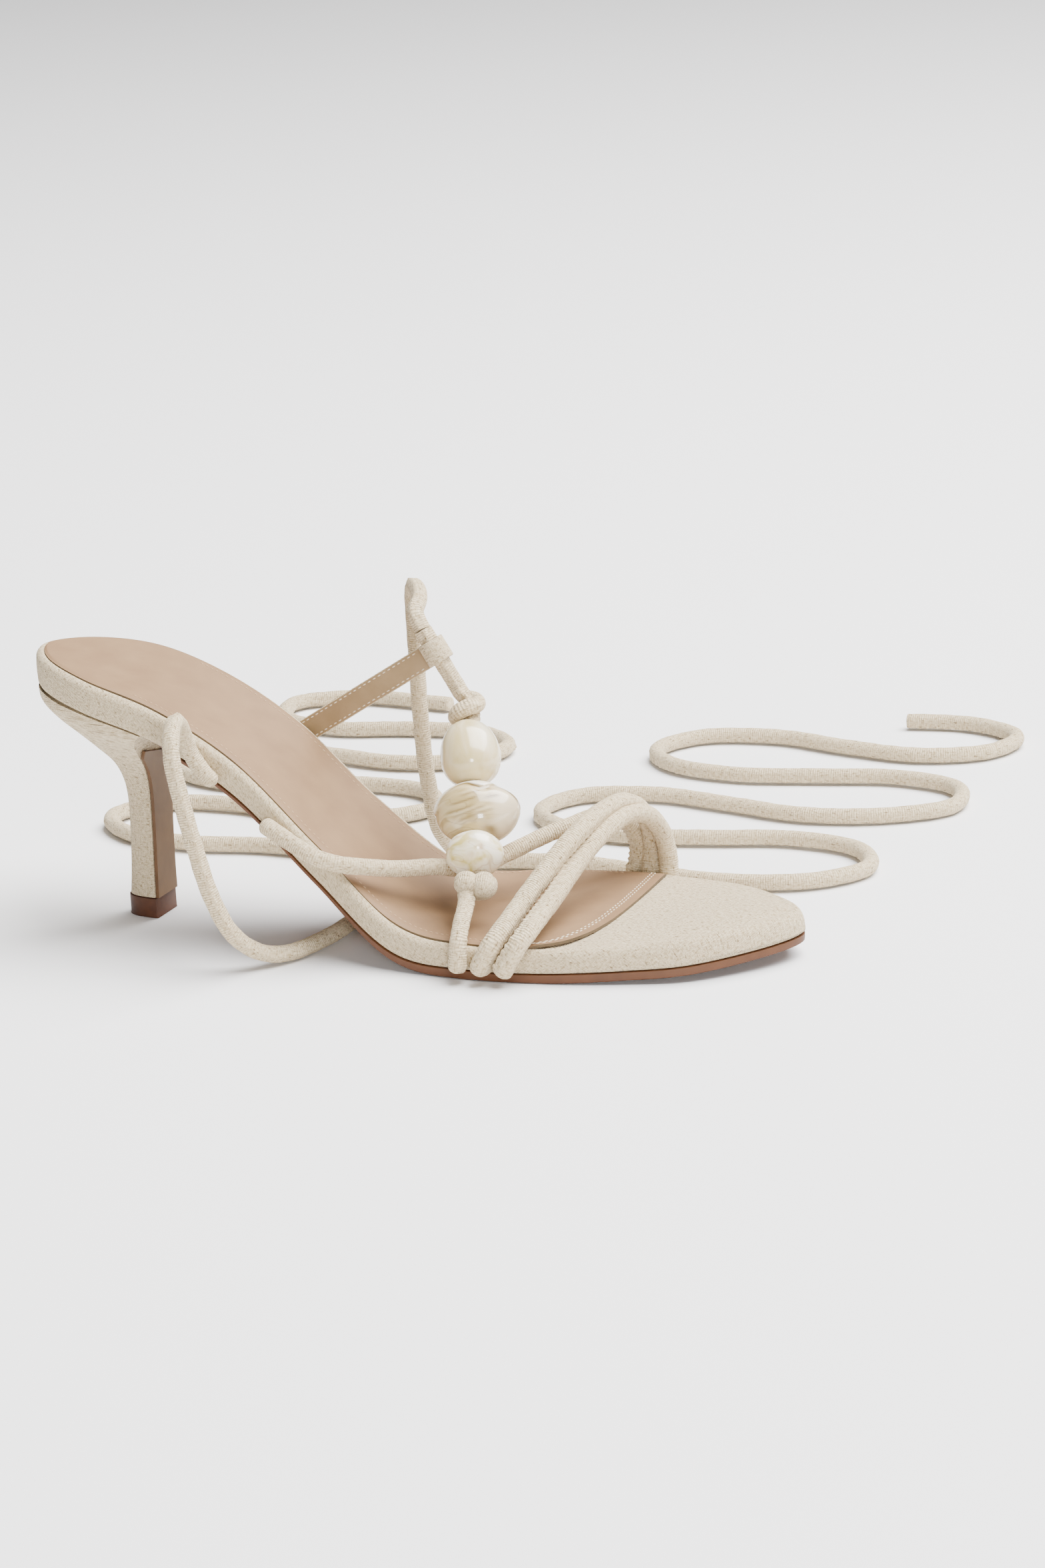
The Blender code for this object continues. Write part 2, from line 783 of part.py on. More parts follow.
def apply_boolean(target, other, operation):
    change = target.modifiers.new(operation.lower() + " " + other.name, "BOOLEAN")
    change.operation = operation
    change.solver = "EXACT"
    change.object = other


def make_upper_straps(home, cutters):
    """Two toe straps and the instep strap, joined where they touch."""
    base = None
    for name, route, radius in (("upper_straps", TOE_STRAP_REAR, TOE_STRAP_RADIUS),
                                ("front_toe_strap", TOE_STRAP_FRONT, TOE_STRAP_RADIUS),
                                ("instep_strap", INSTEP_STRAP, CORD_RADIUS)):
        path = resampled(smooth_path(route, False, PATH_STEPS), CORD_STEP)
        target = home if base is None else cutters
        label = "linen" if base is None else None
        cord = as_mesh(cord_curve(name, path, target, radius=radius), target, label)
        if base is None:
            base = cord
        else:
            apply_boolean(base, tool(cord), "UNION")
    return base


def threaded_place(name):
    return np.array(THREADED[name][:3])


def thread_direction(name):
    """Direction of the cord through one threaded piece."""
    names = list(THREADED)
    at = names.index(name)
    before = threaded_place(names[at - 1]) if at > 0 else np.array(BEAD_CORD_FOOT[-1])
    after = threaded_place(names[at + 1]) if at < len(names) - 1 else np.array(LOOP_CENTRE)
    run = after - before
    return run / np.linalg.norm(run)


def tab_directions():
    """Along the tab from the footbed to the loop, and along its width."""
    run = np.array([LOOP_CENTRE[0] - TAB_EDGE_X, 0.0, LOOP_CENTRE[2] - TAB_EDGE_Z])
    run /= np.linalg.norm(run)
    return run, np.array([-run[2], 0.0, run[0]])


def bead_cord_path():
    """Foot of the cord, through the middle of each threaded piece, then through the loop."""
    route = [np.array(p) for p in BEAD_CORD_FOOT]
    route += [threaded_place(name) for name in THREADED]
    across = tab_directions()[1]
    centre = np.array(LOOP_CENTRE)
    route += [centre - across * TAB_WIDTH * 0.55, centre + across * TAB_WIDTH * 0.55]
    route.append(centre + across * BEAD_CORD_PAST_LOOP)
    return np.array(route)


def turned(direction, sideways=None):
    """A rotation that takes +Z to a direction, with +X as near as can be to another."""
    up = Vector(direction).normalized()
    side = Vector(sideways if sideways is not None else (1.0, 0.0, 0.0))
    side = (side - up * side.dot(up)).normalized()
    other = up.cross(side)
    return Matrix((side, other, up)).transposed().to_4x4()


def make_bead_cord(home, cutters):
    path = resampled(smooth_path(bead_cord_path(), False, PATH_STEPS), BEAD_CORD_STEP)
    cord = as_mesh(cord_curve("bead_cord", path, home), home, "linen")
    for name in ("lower_knot", "upper_knot"):
        for sign in (-1.0, 1.0):
            bpy.ops.mesh.primitive_torus_add(
                major_segments=18, minor_segments=8,
                major_radius=KNOT_RING_RADIUS * MM, minor_radius=KNOT_STRAND_RADIUS * MM)
            ring = bpy.context.active_object
            ring.name = name + ("_first_turn" if sign < 0 else "_second_turn")
            for owner in list(ring.users_collection):
                owner.objects.unlink(ring)
            cutters.objects.link(ring)
            lean = Matrix.Rotation(math.radians(KNOT_TILT * sign), 4, "X" if sign < 0 else "Y")
            place = Matrix.Translation(Vector(threaded_place(name)) * MM)
            ring.data.transform(place @ turned(thread_direction(name)) @ lean)
            apply_boolean(cord, tool(ring), "UNION")
    return cord


def make_bead(name, home, cutters, fold=0.0):
    """A rounded bead on the cord, bored through."""
    half_length, half_width, half_depth = THREADED[name][3:]
    bpy.ops.mesh.primitive_uv_sphere_add(segments=24, ring_count=14, radius=1.0)
    bead = bpy.context.active_object
    bead.name = name
    for owner in list(bead.users_collection):
        owner.objects.unlink(bead)
    home.objects.link(bead)
    bead.data.materials.append(material(name, "swirled resin"))
    for corner in bead.data.vertices:
        x, y, z = corner.co
        round_end = math.copysign(abs(z) ** BEAD_BLUNTNESS, z)
        turn = math.atan2(y, x)
        ridge = 1.0 + fold * math.cos(turn - SWIRL_TWIST * z) * (1 - z * z)
        corner.co = Vector((x * half_width * ridge, y * half_depth * ridge, round_end * half_length)) * MM
    place = Matrix.Translation(Vector(threaded_place(name)) * MM)
    bead.data.transform(place @ turned(thread_direction(name), VIEW_RIGHT))
    bpy.ops.mesh.primitive_cylinder_add(vertices=20, radius=BEAD_BORE * MM, depth=half_length * 3 * MM)
    bore = bpy.context.active_object
    bore.name = name + "_bore"
    for owner in list(bore.users_collection):
        owner.objects.unlink(bore)
    cutters.objects.link(bore)
    bore.data.transform(place @ turned(thread_direction(name)))
    apply_boolean(bead, tool(bore), "DIFFERENCE")
    return bead


def make_loop_tab(home):
    """A flat strap from the medial side of the footbed to a loop round the bead cord."""
    run, across = tab_directions()
    centre = np.array(LOOP_CENTRE)
    edge_run = math.hypot(LOOP_CENTRE[0] - TAB_EDGE_X, LOOP_CENTRE[2] - TAB_EDGE_Z)
    inner = CORD_RADIUS + GAP
    outer = inner + TAB_THICKNESS
    wall = float(edge_y(MEDIAL_LINE, TAB_EDGE_X)) + GAP + TAB_THICKNESS / 2
    side_offset = wall - centre[1]
    half = TAB_THICKNESS / 2
    tail = [(outer - TAB_TAIL_IN_LOOP, 0.0)]
    tail += [(edge_run * down, side_offset * out + more) for down, out, more in TAB_TAIL]
    tail.append((edge_run + TAB_ON_WALL, side_offset + TAB_FOOT_OUT))
    line = resampled(smooth_path(np.array(tail), False, PATH_STEPS), TAB_STEP)
    upper = [(-p[0], p[1] + half) for p in line]
    lower = [(-p[0], p[1] - half) for p in line]
    gape = math.asin(half / outer)
    ring = []
    for turn in np.linspace(math.pi - gape, -math.pi + gape, TAB_LOOP_SIDES + 1):
        ring.append((outer * math.cos(turn), outer * math.sin(turn)))
    outline = upper[::-1][:-1] + ring + lower[1:]
    data = bpy.data.curves.new("loop_tab", "CURVE")
    data.dimensions = "2D"
    data.fill_mode = "BOTH"
    data.extrude = TAB_WIDTH / 2 * MM
    hole = []
    for turn in np.linspace(0.0, 2 * math.pi, TAB_LOOP_SIDES, endpoint=False):
        hole.append((inner * math.cos(turn), inner * math.sin(turn)))
    for places in (outline, hole):
        spline = data.splines.new("POLY")
        spline.points.add(len(places) - 1)
        spline.use_cyclic_u = True
        for point, place in zip(spline.points, places):
            point.co = (place[0] * MM, place[1] * MM, 0.0, 1.0)
    tab = bpy.data.objects.new("loop_tab", data)
    home.objects.link(tab)
    side = np.cross(across, run)
    frame = Matrix((Vector(run), Vector(side), Vector(across))).transposed().to_4x4()
    tab.matrix_world = Matrix.Translation(Vector(centre) * MM) @ frame
    made = as_mesh(tab, home, "linen")
    made.data.transform(made.matrix_world)
    made.matrix_world = Matrix.Identity(4)
    return made


def tie_path(fall, run, lead):
    """The fall to the floor and the run on the floor, cut to the tie's real length.

    lead holds the points of a short straight start, where the tie meets another cord.
    """
    route = list(lead[1:]) + list(fall) + [(x, y, TIE_FLOOR_Z) for x, y in run]
    dense = smooth_path(np.array(route), False, PATH_STEPS)
    dense[:, 2] = np.maximum(dense[:, 2], TIE_FLOOR_Z)
    if not lead:
        return resampled(dense, TIE_STEP, TIE_LENGTH)
    return np.vstack([lead[:1], resampled(dense, TIE_STEP, TIE_LENGTH - TIE_LEAD)])


def make_ties(home):
    lateral = tie_path(TIE_LATERAL_FALL, TIE_LATERAL_RUN, [])
    across = tab_directions()[1]
    first = np.array(LOOP_CENTRE) + across * (BEAD_CORD_PAST_LOOP + GAP)
    medial = tie_path(TIE_MEDIAL_FALL, TIE_MEDIAL_RUN, [first, first + across * TIE_LEAD])
    cord_curve("lateral_tie", lateral, home, "linen")
    cord_curve("medial_tie", medial, home, "linen")


def move_to_origin(parts, cutters):
    """Puts the middle of the shoe over the origin."""
    shift = Matrix.Translation(Vector((-CENTRE_X, -CENTRE_Y, 0.0)) * MM)
    for home in (parts, cutters):
        for thing in home.objects:
            thing.data.transform(shift)


def main():
    parts, cutters = start_clean()
    make_footbed(parts)
    make_sock(parts)
    make_outsole(parts)
    make_heel(parts)
    make_heel_tip(parts)
    make_facing(parts)
    make_upper_straps(parts, cutters)
    make_bead_cord(parts, cutters)
    make_bead("small_bead", parts, cutters)
    make_bead("swirl_bead", parts, cutters, SWIRL_FOLD)
    make_bead("oval_bead", parts, cutters)
    make_loop_tab(parts)
    make_ties(parts)
    move_to_origin(parts, cutters)


main()
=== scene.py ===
# %% [markdown]
# # Dressing a strappy heeled sandal
#
# The shoe is a right sandal on a slim heel. A board wrapped in linen carries the foot, a thin tan sole
# closes it from below, and round linen cords hold the toes, the instep and the ankle. Three glossy
# beads ride on one knotted cord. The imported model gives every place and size. This script makes the
# cloth, the sheet, the resin and the light that go over it.

# %% Load the frame
import math

import bpy
import numpy as np
from mathutils import Matrix, Vector


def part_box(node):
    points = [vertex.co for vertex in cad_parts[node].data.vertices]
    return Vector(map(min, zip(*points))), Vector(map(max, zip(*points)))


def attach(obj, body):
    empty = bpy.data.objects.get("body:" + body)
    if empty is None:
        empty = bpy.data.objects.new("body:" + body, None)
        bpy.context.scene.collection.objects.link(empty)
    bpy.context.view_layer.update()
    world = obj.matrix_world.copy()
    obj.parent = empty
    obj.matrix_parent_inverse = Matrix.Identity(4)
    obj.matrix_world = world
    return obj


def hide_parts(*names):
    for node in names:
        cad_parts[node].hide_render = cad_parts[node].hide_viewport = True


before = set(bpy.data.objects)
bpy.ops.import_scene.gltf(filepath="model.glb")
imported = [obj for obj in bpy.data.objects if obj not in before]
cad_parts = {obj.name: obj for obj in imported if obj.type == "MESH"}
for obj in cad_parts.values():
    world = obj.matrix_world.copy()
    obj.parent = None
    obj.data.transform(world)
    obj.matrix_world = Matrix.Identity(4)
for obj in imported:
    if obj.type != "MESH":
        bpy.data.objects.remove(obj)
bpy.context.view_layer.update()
MM = 0.001
HEEL_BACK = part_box("footbed")[0].x
MIDDLE_Y = 0.45 * MM
print("nodes:", ", ".join(sorted(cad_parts)))


def to_frame(points):
    """Places in millimetres from the back of the heel, moved into the frame in metres."""
    return np.asarray(points, float) * MM + np.array((HEEL_BACK, -MIDDLE_Y, 0.0))


# %% [markdown]
# ## The camera
#
# A product photograph of a shoe is taken from a long way off with a long lens, so that the heel and the
# toe keep their true sizes. The camera is set by its angle round the shoe, its height and its distance,
# and it is rolled a little, as it was by hand.

# %% Camera
CAMERA_TARGET = Vector((0.0355, 0.0, 0.0472))
CAMERA_AZIMUTH = math.radians(23.84)
CAMERA_ELEVATION = math.radians(15.88)
CAMERA_DISTANCE = 1.434
CAMERA_ROLL = math.radians(3.09)
CAMERA_LENS = 114.75


def place_camera():
    back = Vector((math.sin(CAMERA_AZIMUTH) * math.cos(CAMERA_ELEVATION),
                   -math.cos(CAMERA_AZIMUTH) * math.cos(CAMERA_ELEVATION),
                   math.sin(CAMERA_ELEVATION)))
    level_side = (-back).cross(Vector((0.0, 0.0, 1.0))).normalized()
    level_up = level_side.cross(-back)
    up = level_up * math.cos(CAMERA_ROLL) + level_side * math.sin(CAMERA_ROLL)
    side = level_side * math.cos(CAMERA_ROLL) - level_up * math.sin(CAMERA_ROLL)
    bpy.ops.object.camera_add()
    camera = bpy.context.active_object
    turn = Matrix((side, up, back)).transposed().to_4x4()
    camera.matrix_world = Matrix.Translation(CAMERA_TARGET + back * CAMERA_DISTANCE) @ turn
    camera.data.lens = CAMERA_LENS
    camera.data.clip_end = 50.0
    bpy.context.scene.camera = camera
    return camera


print("camera at", [round(value, 3) for value in place_camera().location])

# %% [markdown]
# ## Curves and sheets
#
# Almost everything on this shoe is a skin: cloth round a board, cloth round a cord, a sheet on a heel.
# A skin is easy to make from Blender's grid primitive. The grid is added with as many corners as the
# skin needs, each corner is moved to its place, and corners that meet are merged. The grid also gives a
# UV map, which is set in millimetres along the cloth, so that a weave can follow the surface.

# %% Helpers for curves and sheets
MERGE_MM = 0.002
SHARP_EDGE = math.radians(50)


def smooth(known, values, at):
    """A smooth curve through a column of values."""
    known = np.asarray(known, float)
    values = np.asarray(values, float)
    slopes = np.gradient(values, known)
    at = np.clip(np.asarray(at, float), known[0], known[-1])
    cell = np.clip(np.searchsorted(known, at, side="right") - 1, 0, len(known) - 2)
    width = known[cell + 1] - known[cell]
    t = (at - known[cell]) / width
    start = (1 + 2 * t) * (1 - t) ** 2 * values[cell] + t * (1 - t) ** 2 * width * slopes[cell]
    end = t * t * (3 - 2 * t) * values[cell + 1] + t * t * (t - 1) * width * slopes[cell + 1]
    return start + end


def bell(value, middle, width):
    """1 at the middle, falling off smoothly to both sides."""
    return np.exp(-((value - middle) / width) ** 2)


def fade(value, low, high):
    """0 below low, 1 above high, smooth between."""
    t = np.clip((np.asarray(value, float) - low) / (high - low), 0.0, 1.0)
    return t * t * (3 - 2 * t)


def smooth_route(points, closed=False, per_span=14):
    """A smooth curve through the points of a route."""
    points = np.asarray(points, float)
    if closed:
        padded = np.vstack([points[-1:], points, points[:2]])
    else:
        padded = np.vstack([2 * points[:1] - points[1:2], points, 2 * points[-1:] - points[-2:-1]])
    chords = np.linalg.norm(np.diff(padded, axis=0), axis=1) ** 0.5
    t = np.arange(per_span)[:, None] / per_span
    made = []
    for i in range(1, len(padded) - 2):
        before, a, b, after = padded[i - 1:i + 3]
        d0, d1, d2 = chords[i - 1:i + 2]
        m1 = d1 * ((a - before) / d0 - (b - before) / (d0 + d1) + (b - a) / d1)
        m2 = d1 * ((b - a) / d1 - (after - a) / (d1 + d2) + (after - b) / d2)
        made.append((2 * t ** 3 - 3 * t ** 2 + 1) * a + (t ** 3 - 2 * t ** 2 + t) * m1
                    + (3 * t ** 2 - 2 * t ** 3) * b + (t ** 3 - t ** 2) * m2)
    if not closed:
        made.append(points[-1:])
    return np.vstack(made)


def units(directions):
    """Directions brought to length 1."""
    return directions / np.linalg.norm(directions, axis=-1, keepdims=True)


def run_of(line):
    """Distance along a line at each of its points."""
    return np.concatenate([[0.0], np.cumsum(np.linalg.norm(np.diff(line, axis=0), axis=1))])


def along(line, distances):
    """Places on a line at given distances from its start."""
    run = run_of(line)
    return np.stack([np.interp(distances, run, line[:, axis]) for axis in range(line.shape[1])], axis=1)


def corner_places(mesh):
    """The corners of a mesh as rows of x, y and z."""
    corners = np.zeros(len(mesh.vertices) * 3)
    mesh.vertices.foreach_get("co", corners)
    return corners.reshape(-1, 3)


def lofted_sheet(name, points, weave):
    """A grid primitive with its corners moved to a table of places, merged where they meet."""
    rows, columns = points.shape[:2]
    bpy.ops.mesh.primitive_grid_add(x_subdivisions=rows - 1, y_subdivisions=columns - 1, size=2.0)
    sheet = bpy.context.active_object
    sheet.name = name
    mesh = sheet.data
    corners = corner_places(mesh)
    row = np.rint((corners[:, 0] + 1) / 2 * (rows - 1)).astype(int)
    column = np.rint((corners[:, 1] + 1) / 2 * (columns - 1)).astype(int)
    mesh.vertices.foreach_set("co", to_frame(points[row, column]).ravel())
    owner = np.zeros(len(mesh.loops), int)
    mesh.loops.foreach_get("vertex_index", owner)
    mesh.uv_layers.active.data.foreach_set("uv", weave[row[owner], column[owner]].ravel())
    bpy.ops.object.mode_set(mode="EDIT")
    bpy.ops.mesh.select_all(action="SELECT")
    bpy.ops.mesh.remove_doubles(threshold=MERGE_MM * MM)
    bpy.ops.mesh.normals_make_consistent(inside=False)
    bpy.ops.object.mode_set(mode="OBJECT")
    bpy.ops.object.shade_smooth()
    return sheet


def capped(skin):
    """A tube of rings with a middle added at each end, which closes it."""
    ends = [np.repeat(row.mean(axis=0)[None, None, :], skin.shape[1], axis=1) for row in (skin[0], skin[-1])]
    return np.concatenate([ends[0], skin, ends[1]], axis=0)


def unit_sphere(segments, rings):
    """A sphere primitive of radius 1, to be shaped."""
    bpy.ops.mesh.primitive_uv_sphere_add(segments=segments, ring_count=rings, radius=1.0)
    return bpy.context.active_object


def join(pieces, name):
    """Makes the pieces one object, the first of them."""
    bpy.ops.object.select_all(action="DESELECT")
    for piece in pieces:
        piece.select_set(True)
    bpy.context.view_layer.objects.active = pieces[0]
    bpy.ops.object.join()
    pieces[0].name = name
    return pieces[0]


def round_edges(piece, width_mm, segments, smooth_degrees):
    """Bevels the sharp edges of the active piece and smooths its shading."""
    rounding = piece.modifiers.new("rounded edges", "BEVEL")
    rounding.width = width_mm * MM
    rounding.segments = segments
    rounding.limit_method = "ANGLE"
    rounding.angle_limit = SHARP_EDGE
    bpy.ops.object.modifier_apply(modifier=rounding.name)
    bpy.ops.object.shade_smooth_by_angle(angle=math.radians(smooth_degrees))


def dress(piece, cad_node, slot, *finishes):
    """The piece gets its finishes, takes the place of a CAD node and rides with the shoe."""
    piece.data.materials.clear()
    for finish in finishes:
        piece.data.materials.append(finish)
    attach(piece, "root")
    if cad_node is not None:
        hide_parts(cad_node)
    print(piece.name, len(piece.data.polygons), "faces")
    return piece


def second_finish(piece, chosen):
    """The chosen faces get the second finish. Each is judged by its normal and its heights in the cloth."""
    layer = piece.data.uv_layers.active.data
    for face in piece.data.polygons:
        if chosen(face.normal, [layer[k].uv[1] for k in face.loop_indices]):
            face.material_index = 1


# %% [markdown]
# ## Finishes
#
# The cloth is undyed linen: flax yarn that is never quite even, so it has thick and thin places and dark
# specks of husk. The sock and the facing are matt coated sheet, the sole is a brown sheet with a slight
# sheen, the heel tip is rubber, and the beads are polished cast resin with colours that were stirred
# together before it set. Each finish is made from noise and waves at about the size of the yarn or grain,
# a little coarser than real, so that it shows.

# %% Helpers for finishes


def linear(colour):
    """An sRGB hex colour as linear red, green, blue and alpha."""
    parts = [int(colour[i:i + 2], 16) / 255 for i in (1, 3, 5)]
    return tuple(p / 12.92 if p <= 0.04045 else ((p + 0.055) / 1.055) ** 2.4 for p in parts) + (1.0,)


def set_inputs(tree, made, inputs):
    """Sets values or links on the inputs of a node."""
    for name, value in inputs.items():
        if isinstance(value, bpy.types.NodeSocket):
            tree.links.new(value, made.inputs[name])
        else:
            made.inputs[name].default_value = value


def node(tree, kind, inputs=None, **settings):
    """Adds one node, with its settings and with values or links on its inputs."""
    made = tree.nodes.new(kind)
    for name, value in settings.items():
        setattr(made, name, value)
    set_inputs(tree, made, inputs or {})
    return made


def new_finish(name):
    """An empty material with its surface shader."""
    made = bpy.data.materials.new(name)
    made.use_nodes = True
    return made, made.node_tree, made.node_tree.nodes["Principled BSDF"]


def ramp(tree, factor, *stops):
    """Colours set along a factor, as pairs of place and sRGB hex colour."""
    made = node(tree, "ShaderNodeValToRGB", {"Fac": factor})
    while len(made.color_ramp.elements) < len(stops):
        made.color_ramp.elements.new(0.5)
    for element, (place, colour) in zip(made.color_ramp.elements, stops):
        element.position = place
        element.color = linear(colour)
    return made.outputs["Color"]


def noise(tree, place, scale, detail, roughness=0.5, output="Fac"):
    inputs = {"Vector": place, "Scale": scale, "Detail": detail, "Roughness": roughness}
    return node(tree, "ShaderNodeTexNoise", inputs).outputs[output]


def sums(tree, operation, *values):
    """One step of arithmetic on values or links."""
    return node(tree, "ShaderNodeMath", dict(enumerate(values)), operation=operation).outputs["Value"]


def moved(tree, place, **inputs):
    return node(tree, "ShaderNodeMapping", {"Vector": place, **inputs}).outputs["Vector"]


def ranged(tree, value, low, high, top=1.0):
    """A value from 0 at low to top at high."""
    inputs = {"Value": value, "From Min": low, "From Max": high, "To Max": top}
    return node(tree, "ShaderNodeMapRange", inputs).outputs["Result"]


def mixed(tree, share, under, over):
    """One colour over another by a share. The numbers are the colour sockets of the node."""
    return node(tree, "ShaderNodeMix", {0: share, 6: under, 7: linear(over)}, data_type="RGBA").outputs[2]


def relief(tree, height, strength, depth_mm):
    inputs = {"Strength": strength, "Distance": depth_mm * MM, "Height": height}
    return node(tree, "ShaderNodeBump", inputs).outputs["Normal"]


# %% Linen
LINEN_PALE = "#E0D0B0"
LINEN_LIGHT = "#D0BD9B"
LINEN_DARK = "#A38D68"
LINEN_HUSK = "#6A5433"
YARN_MM = 0.55
RIB_MM = 0.72


def linen_finish(name, turn_degrees=0.0, ribbed=False):
    """Undyed linen: uneven yarn, a fine weave and specks of husk. On a cord the weft shows as ribs."""
    made, tree, shader = new_finish(name)
    cloth = node(tree, "ShaderNodeUVMap").outputs["UV"]
    place = moved(tree, cloth, Rotation=(0.0, 0.0, math.radians(turn_degrees)))
    along_warp = moved(tree, place, Scale=(0.7, 2.0, 1.0))
    along_weft = moved(tree, place, Scale=(2.0, 0.7, 1.0))
    warp_yarn = noise(tree, along_warp, 1.0, 3.0, 0.6)
    yarns = sums(tree, "ADD", warp_yarn, noise(tree, along_weft, 1.0, 3.0, 0.6))
    tone = ranged(tree, yarns, 0.72, 1.28)
    colour = ramp(tree, tone, (0.0, LINEN_DARK), (0.55, LINEN_LIGHT), (1.0, LINEN_PALE))
    husk = ranged(tree, noise(tree, along_warp, 0.75, 1.0), 0.65, 0.71, 0.7)
    split = node(tree, "ShaderNodeSeparateXYZ", {"Vector": place}).outputs
    wave = sums(tree, "MULTIPLY", split["X"], 2 * math.pi / (RIB_MM if ribbed else YARN_MM))
    weave = sums(tree, "SINE", sums(tree, "MULTIPLY_ADD", warp_yarn, 6.0, wave))
    if not ribbed:
        cross_wave = sums(tree, "MULTIPLY", split["Y"], 2 * math.pi / YARN_MM)
        weave = sums(tree, "MULTIPLY", weave, sums(tree, "SINE", cross_wave))
    height = sums(tree, "MULTIPLY_ADD", yarns, 1.6, weave)
    set_inputs(tree, shader, {"Base Color": mixed(tree, husk, colour, LINEN_HUSK),
                              "Normal": relief(tree, height, 0.75, 0.16), "Roughness": 0.88,
                              "Sheen Weight": 0.12, "Sheen Roughness": 0.5, "Specular IOR Level": 0.25})
    return made


FOOTBED_LINEN = linen_finish("Undyed linen on the bias", 32.0)
HEEL_LINEN = linen_finish("Undyed linen, straight weave")
CORD_LINEN = linen_finish("Undyed linen cord, ribbed", 0.0, True)
print("linen finishes made")

# %% Sheet, rubber, thread and resin


def sheet_finish(name, light, dark, roughness, grain_mm, mottle_mm, relief_mm):
    """A matt coated sheet: a soft mottle in its colour and a fine pressed grain."""
    made, tree, shader = new_finish(name)
    place = node(tree, "ShaderNodeTexCoord").outputs["Object"]
    mottle = noise(tree, place, 1 / (mottle_mm * MM), 4.0)
    grain = noise(tree, place, 1 / (grain_mm * MM), 3.0)
    set_inputs(tree, shader, {"Base Color": ramp(tree, mottle, (0.3, dark), (0.7, light)),
                              "Normal": relief(tree, grain, 0.4, relief_mm), "Roughness": roughness,
                              "Specular IOR Level": 0.35})
    return made


SOCK_SHEET = sheet_finish("Matt tan coated sheet", "#876A4B", "#7E6144", 0.62, 0.7, 9.0, 0.05)
# the sock's edge faces: partly its darker raw cut edge, partly painted shade of the thin gap along the
# footbed's rim
SOCK_EDGE_AND_SHADE = sheet_finish("Dark cut edge of the sock with painted shade", "#6B5B45", "#5A4C39", 0.8, 0.6, 5.0, 0.03)
LINING_SHEET = sheet_finish("Matt tan lining", "#9B815F", "#907755", 0.62, 0.6, 5.0, 0.05)
OUTSOLE_SHEET = sheet_finish("Brown sole sheet", "#5C361B", "#512F15", 0.5, 0.8, 6.0, 0.03)
FACING_SHEET = sheet_finish("Tan facing sheet", "#6B4C27", "#604321", 0.55, 0.8, 7.0, 0.03)
CUT_EDGE = sheet_finish("Cut edge of the facing sheet", "#5E4023", "#52371B", 0.6, 0.5, 4.0, 0.05)
TIP_RUBBER = sheet_finish("Red-brown heel rubber", "#52301D", "#462818", 0.55, 0.5, 3.0, 0.04)
THREAD = sheet_finish("Pale sewing thread", "#CFBDA2", "#DCCFB8", 0.7, 0.3, 2.0, 0.05)
# painted shade: the groove where the heel meets the footbed is coloured dark, standing in for the shadow
# under the footbed's edge
SEAM_SHADE = sheet_finish("Painted shade in the seam groove", "#85755C", "#75664F", 0.9, 0.5, 4.0, 0.02)
TAN_THREAD = sheet_finish("Tan sewing thread", "#A98C6C", "#AF9172", 0.7, 0.3, 2.0, 0.05)
BEAD_BLUSH = "#D9C9AE"
# pale colour of the swirl bead's lip; on the oval and small beads it is painted light on their lighter parts
BEAD_LIP_AND_PAINTED_LIGHT = "#EFE8DA"


def resin_finish(name, pale, body, olive, vein, stretch, lean, line_share):
    """Polished cast resin: a milky body, olive clouds drawn out by stirring, thin lines, a pale lip, painted
    light and shade.
    """
    made, tree, shader = new_finish(name)
    place = node(tree, "ShaderNodeAttribute", attribute_name="bead_place").outputs["Vector"]
    drawn = moved(tree, place, Rotation=lean, Scale=stretch)
    stir = noise(tree, drawn, 0.9, 1.0, output="Color")
    push = node(tree, "ShaderNodeVectorMath", {0: stir, "Scale": 1.3}, operation="SCALE").outputs["Vector"]
    stirred = node(tree, "ShaderNodeVectorMath", {0: drawn, 1: push}, operation="ADD").outputs["Vector"]
    cloud = noise(tree, stirred, 1.5, 2.5)
    colour = ramp(tree, cloud, (0.30, pale), (0.47, body), (0.66, olive))
    flow = sums(tree, "MULTIPLY", noise(tree, stirred, 1.1, 1.0), 9.0)
    line = ranged(tree, sums(tree, "PINGPONG", flow, 1.0), 0.16, 0.02, line_share)
    colour = mixed(tree, line, colour, vein)
    # the pale mark is the swirl bead's lip and painted light on the other beads; the dark mark is lines,
    # spots and painted shade under the swirl bead's lip
    for mark, tone in (("olive", olive), ("blush", BEAD_BLUSH), ("lip_and_painted_light", BEAD_LIP_AND_PAINTED_LIGHT), ("dark_marks_and_painted_shade", vein)):
        share = node(tree, "ShaderNodeAttribute", attribute_name="bead_" + mark).outputs["Fac"]
        colour = mixed(tree, share, colour, tone)
    set_inputs(tree, shader, {"Base Color": colour, "Roughness": 0.24, "IOR": 1.5, "Subsurface Weight": 0.3,
                              "Subsurface Radius": (1.0, 0.85, 0.6), "Subsurface Scale": 2.0 * MM,
                              "Coat Weight": 0.6, "Coat Roughness": 0.02})
    return made


print("sheet, rubber and thread finishes made")

# %% [markdown]
# ## The cords
#
# Each cord is a strip of linen sewn round a soft core. The two toe straps are 5.6 mm thick, and the
# instep strap, the bead cord and the ties 4.9 mm. A cord is a skin round a route: a ring of corners is
# carried along the route without twisting, so that the sewn edge stays on one side, and the ends are
# rounded in.

# %% Cord helper
CORD_RADIUS = 2.45
SEAM_HEIGHT = 0.55
SEAM_WIDTH = 0.22
GATHER_MM = 2.2
FOOT_MM = 7.0
# slow changes of thickness along a cord: share of the radius, rate and start
CORD_UNEVEN = ((0.012, 0.83, 1.1), (0.010, 2.17, 0.0), (0.008, 4.9, 0.0))


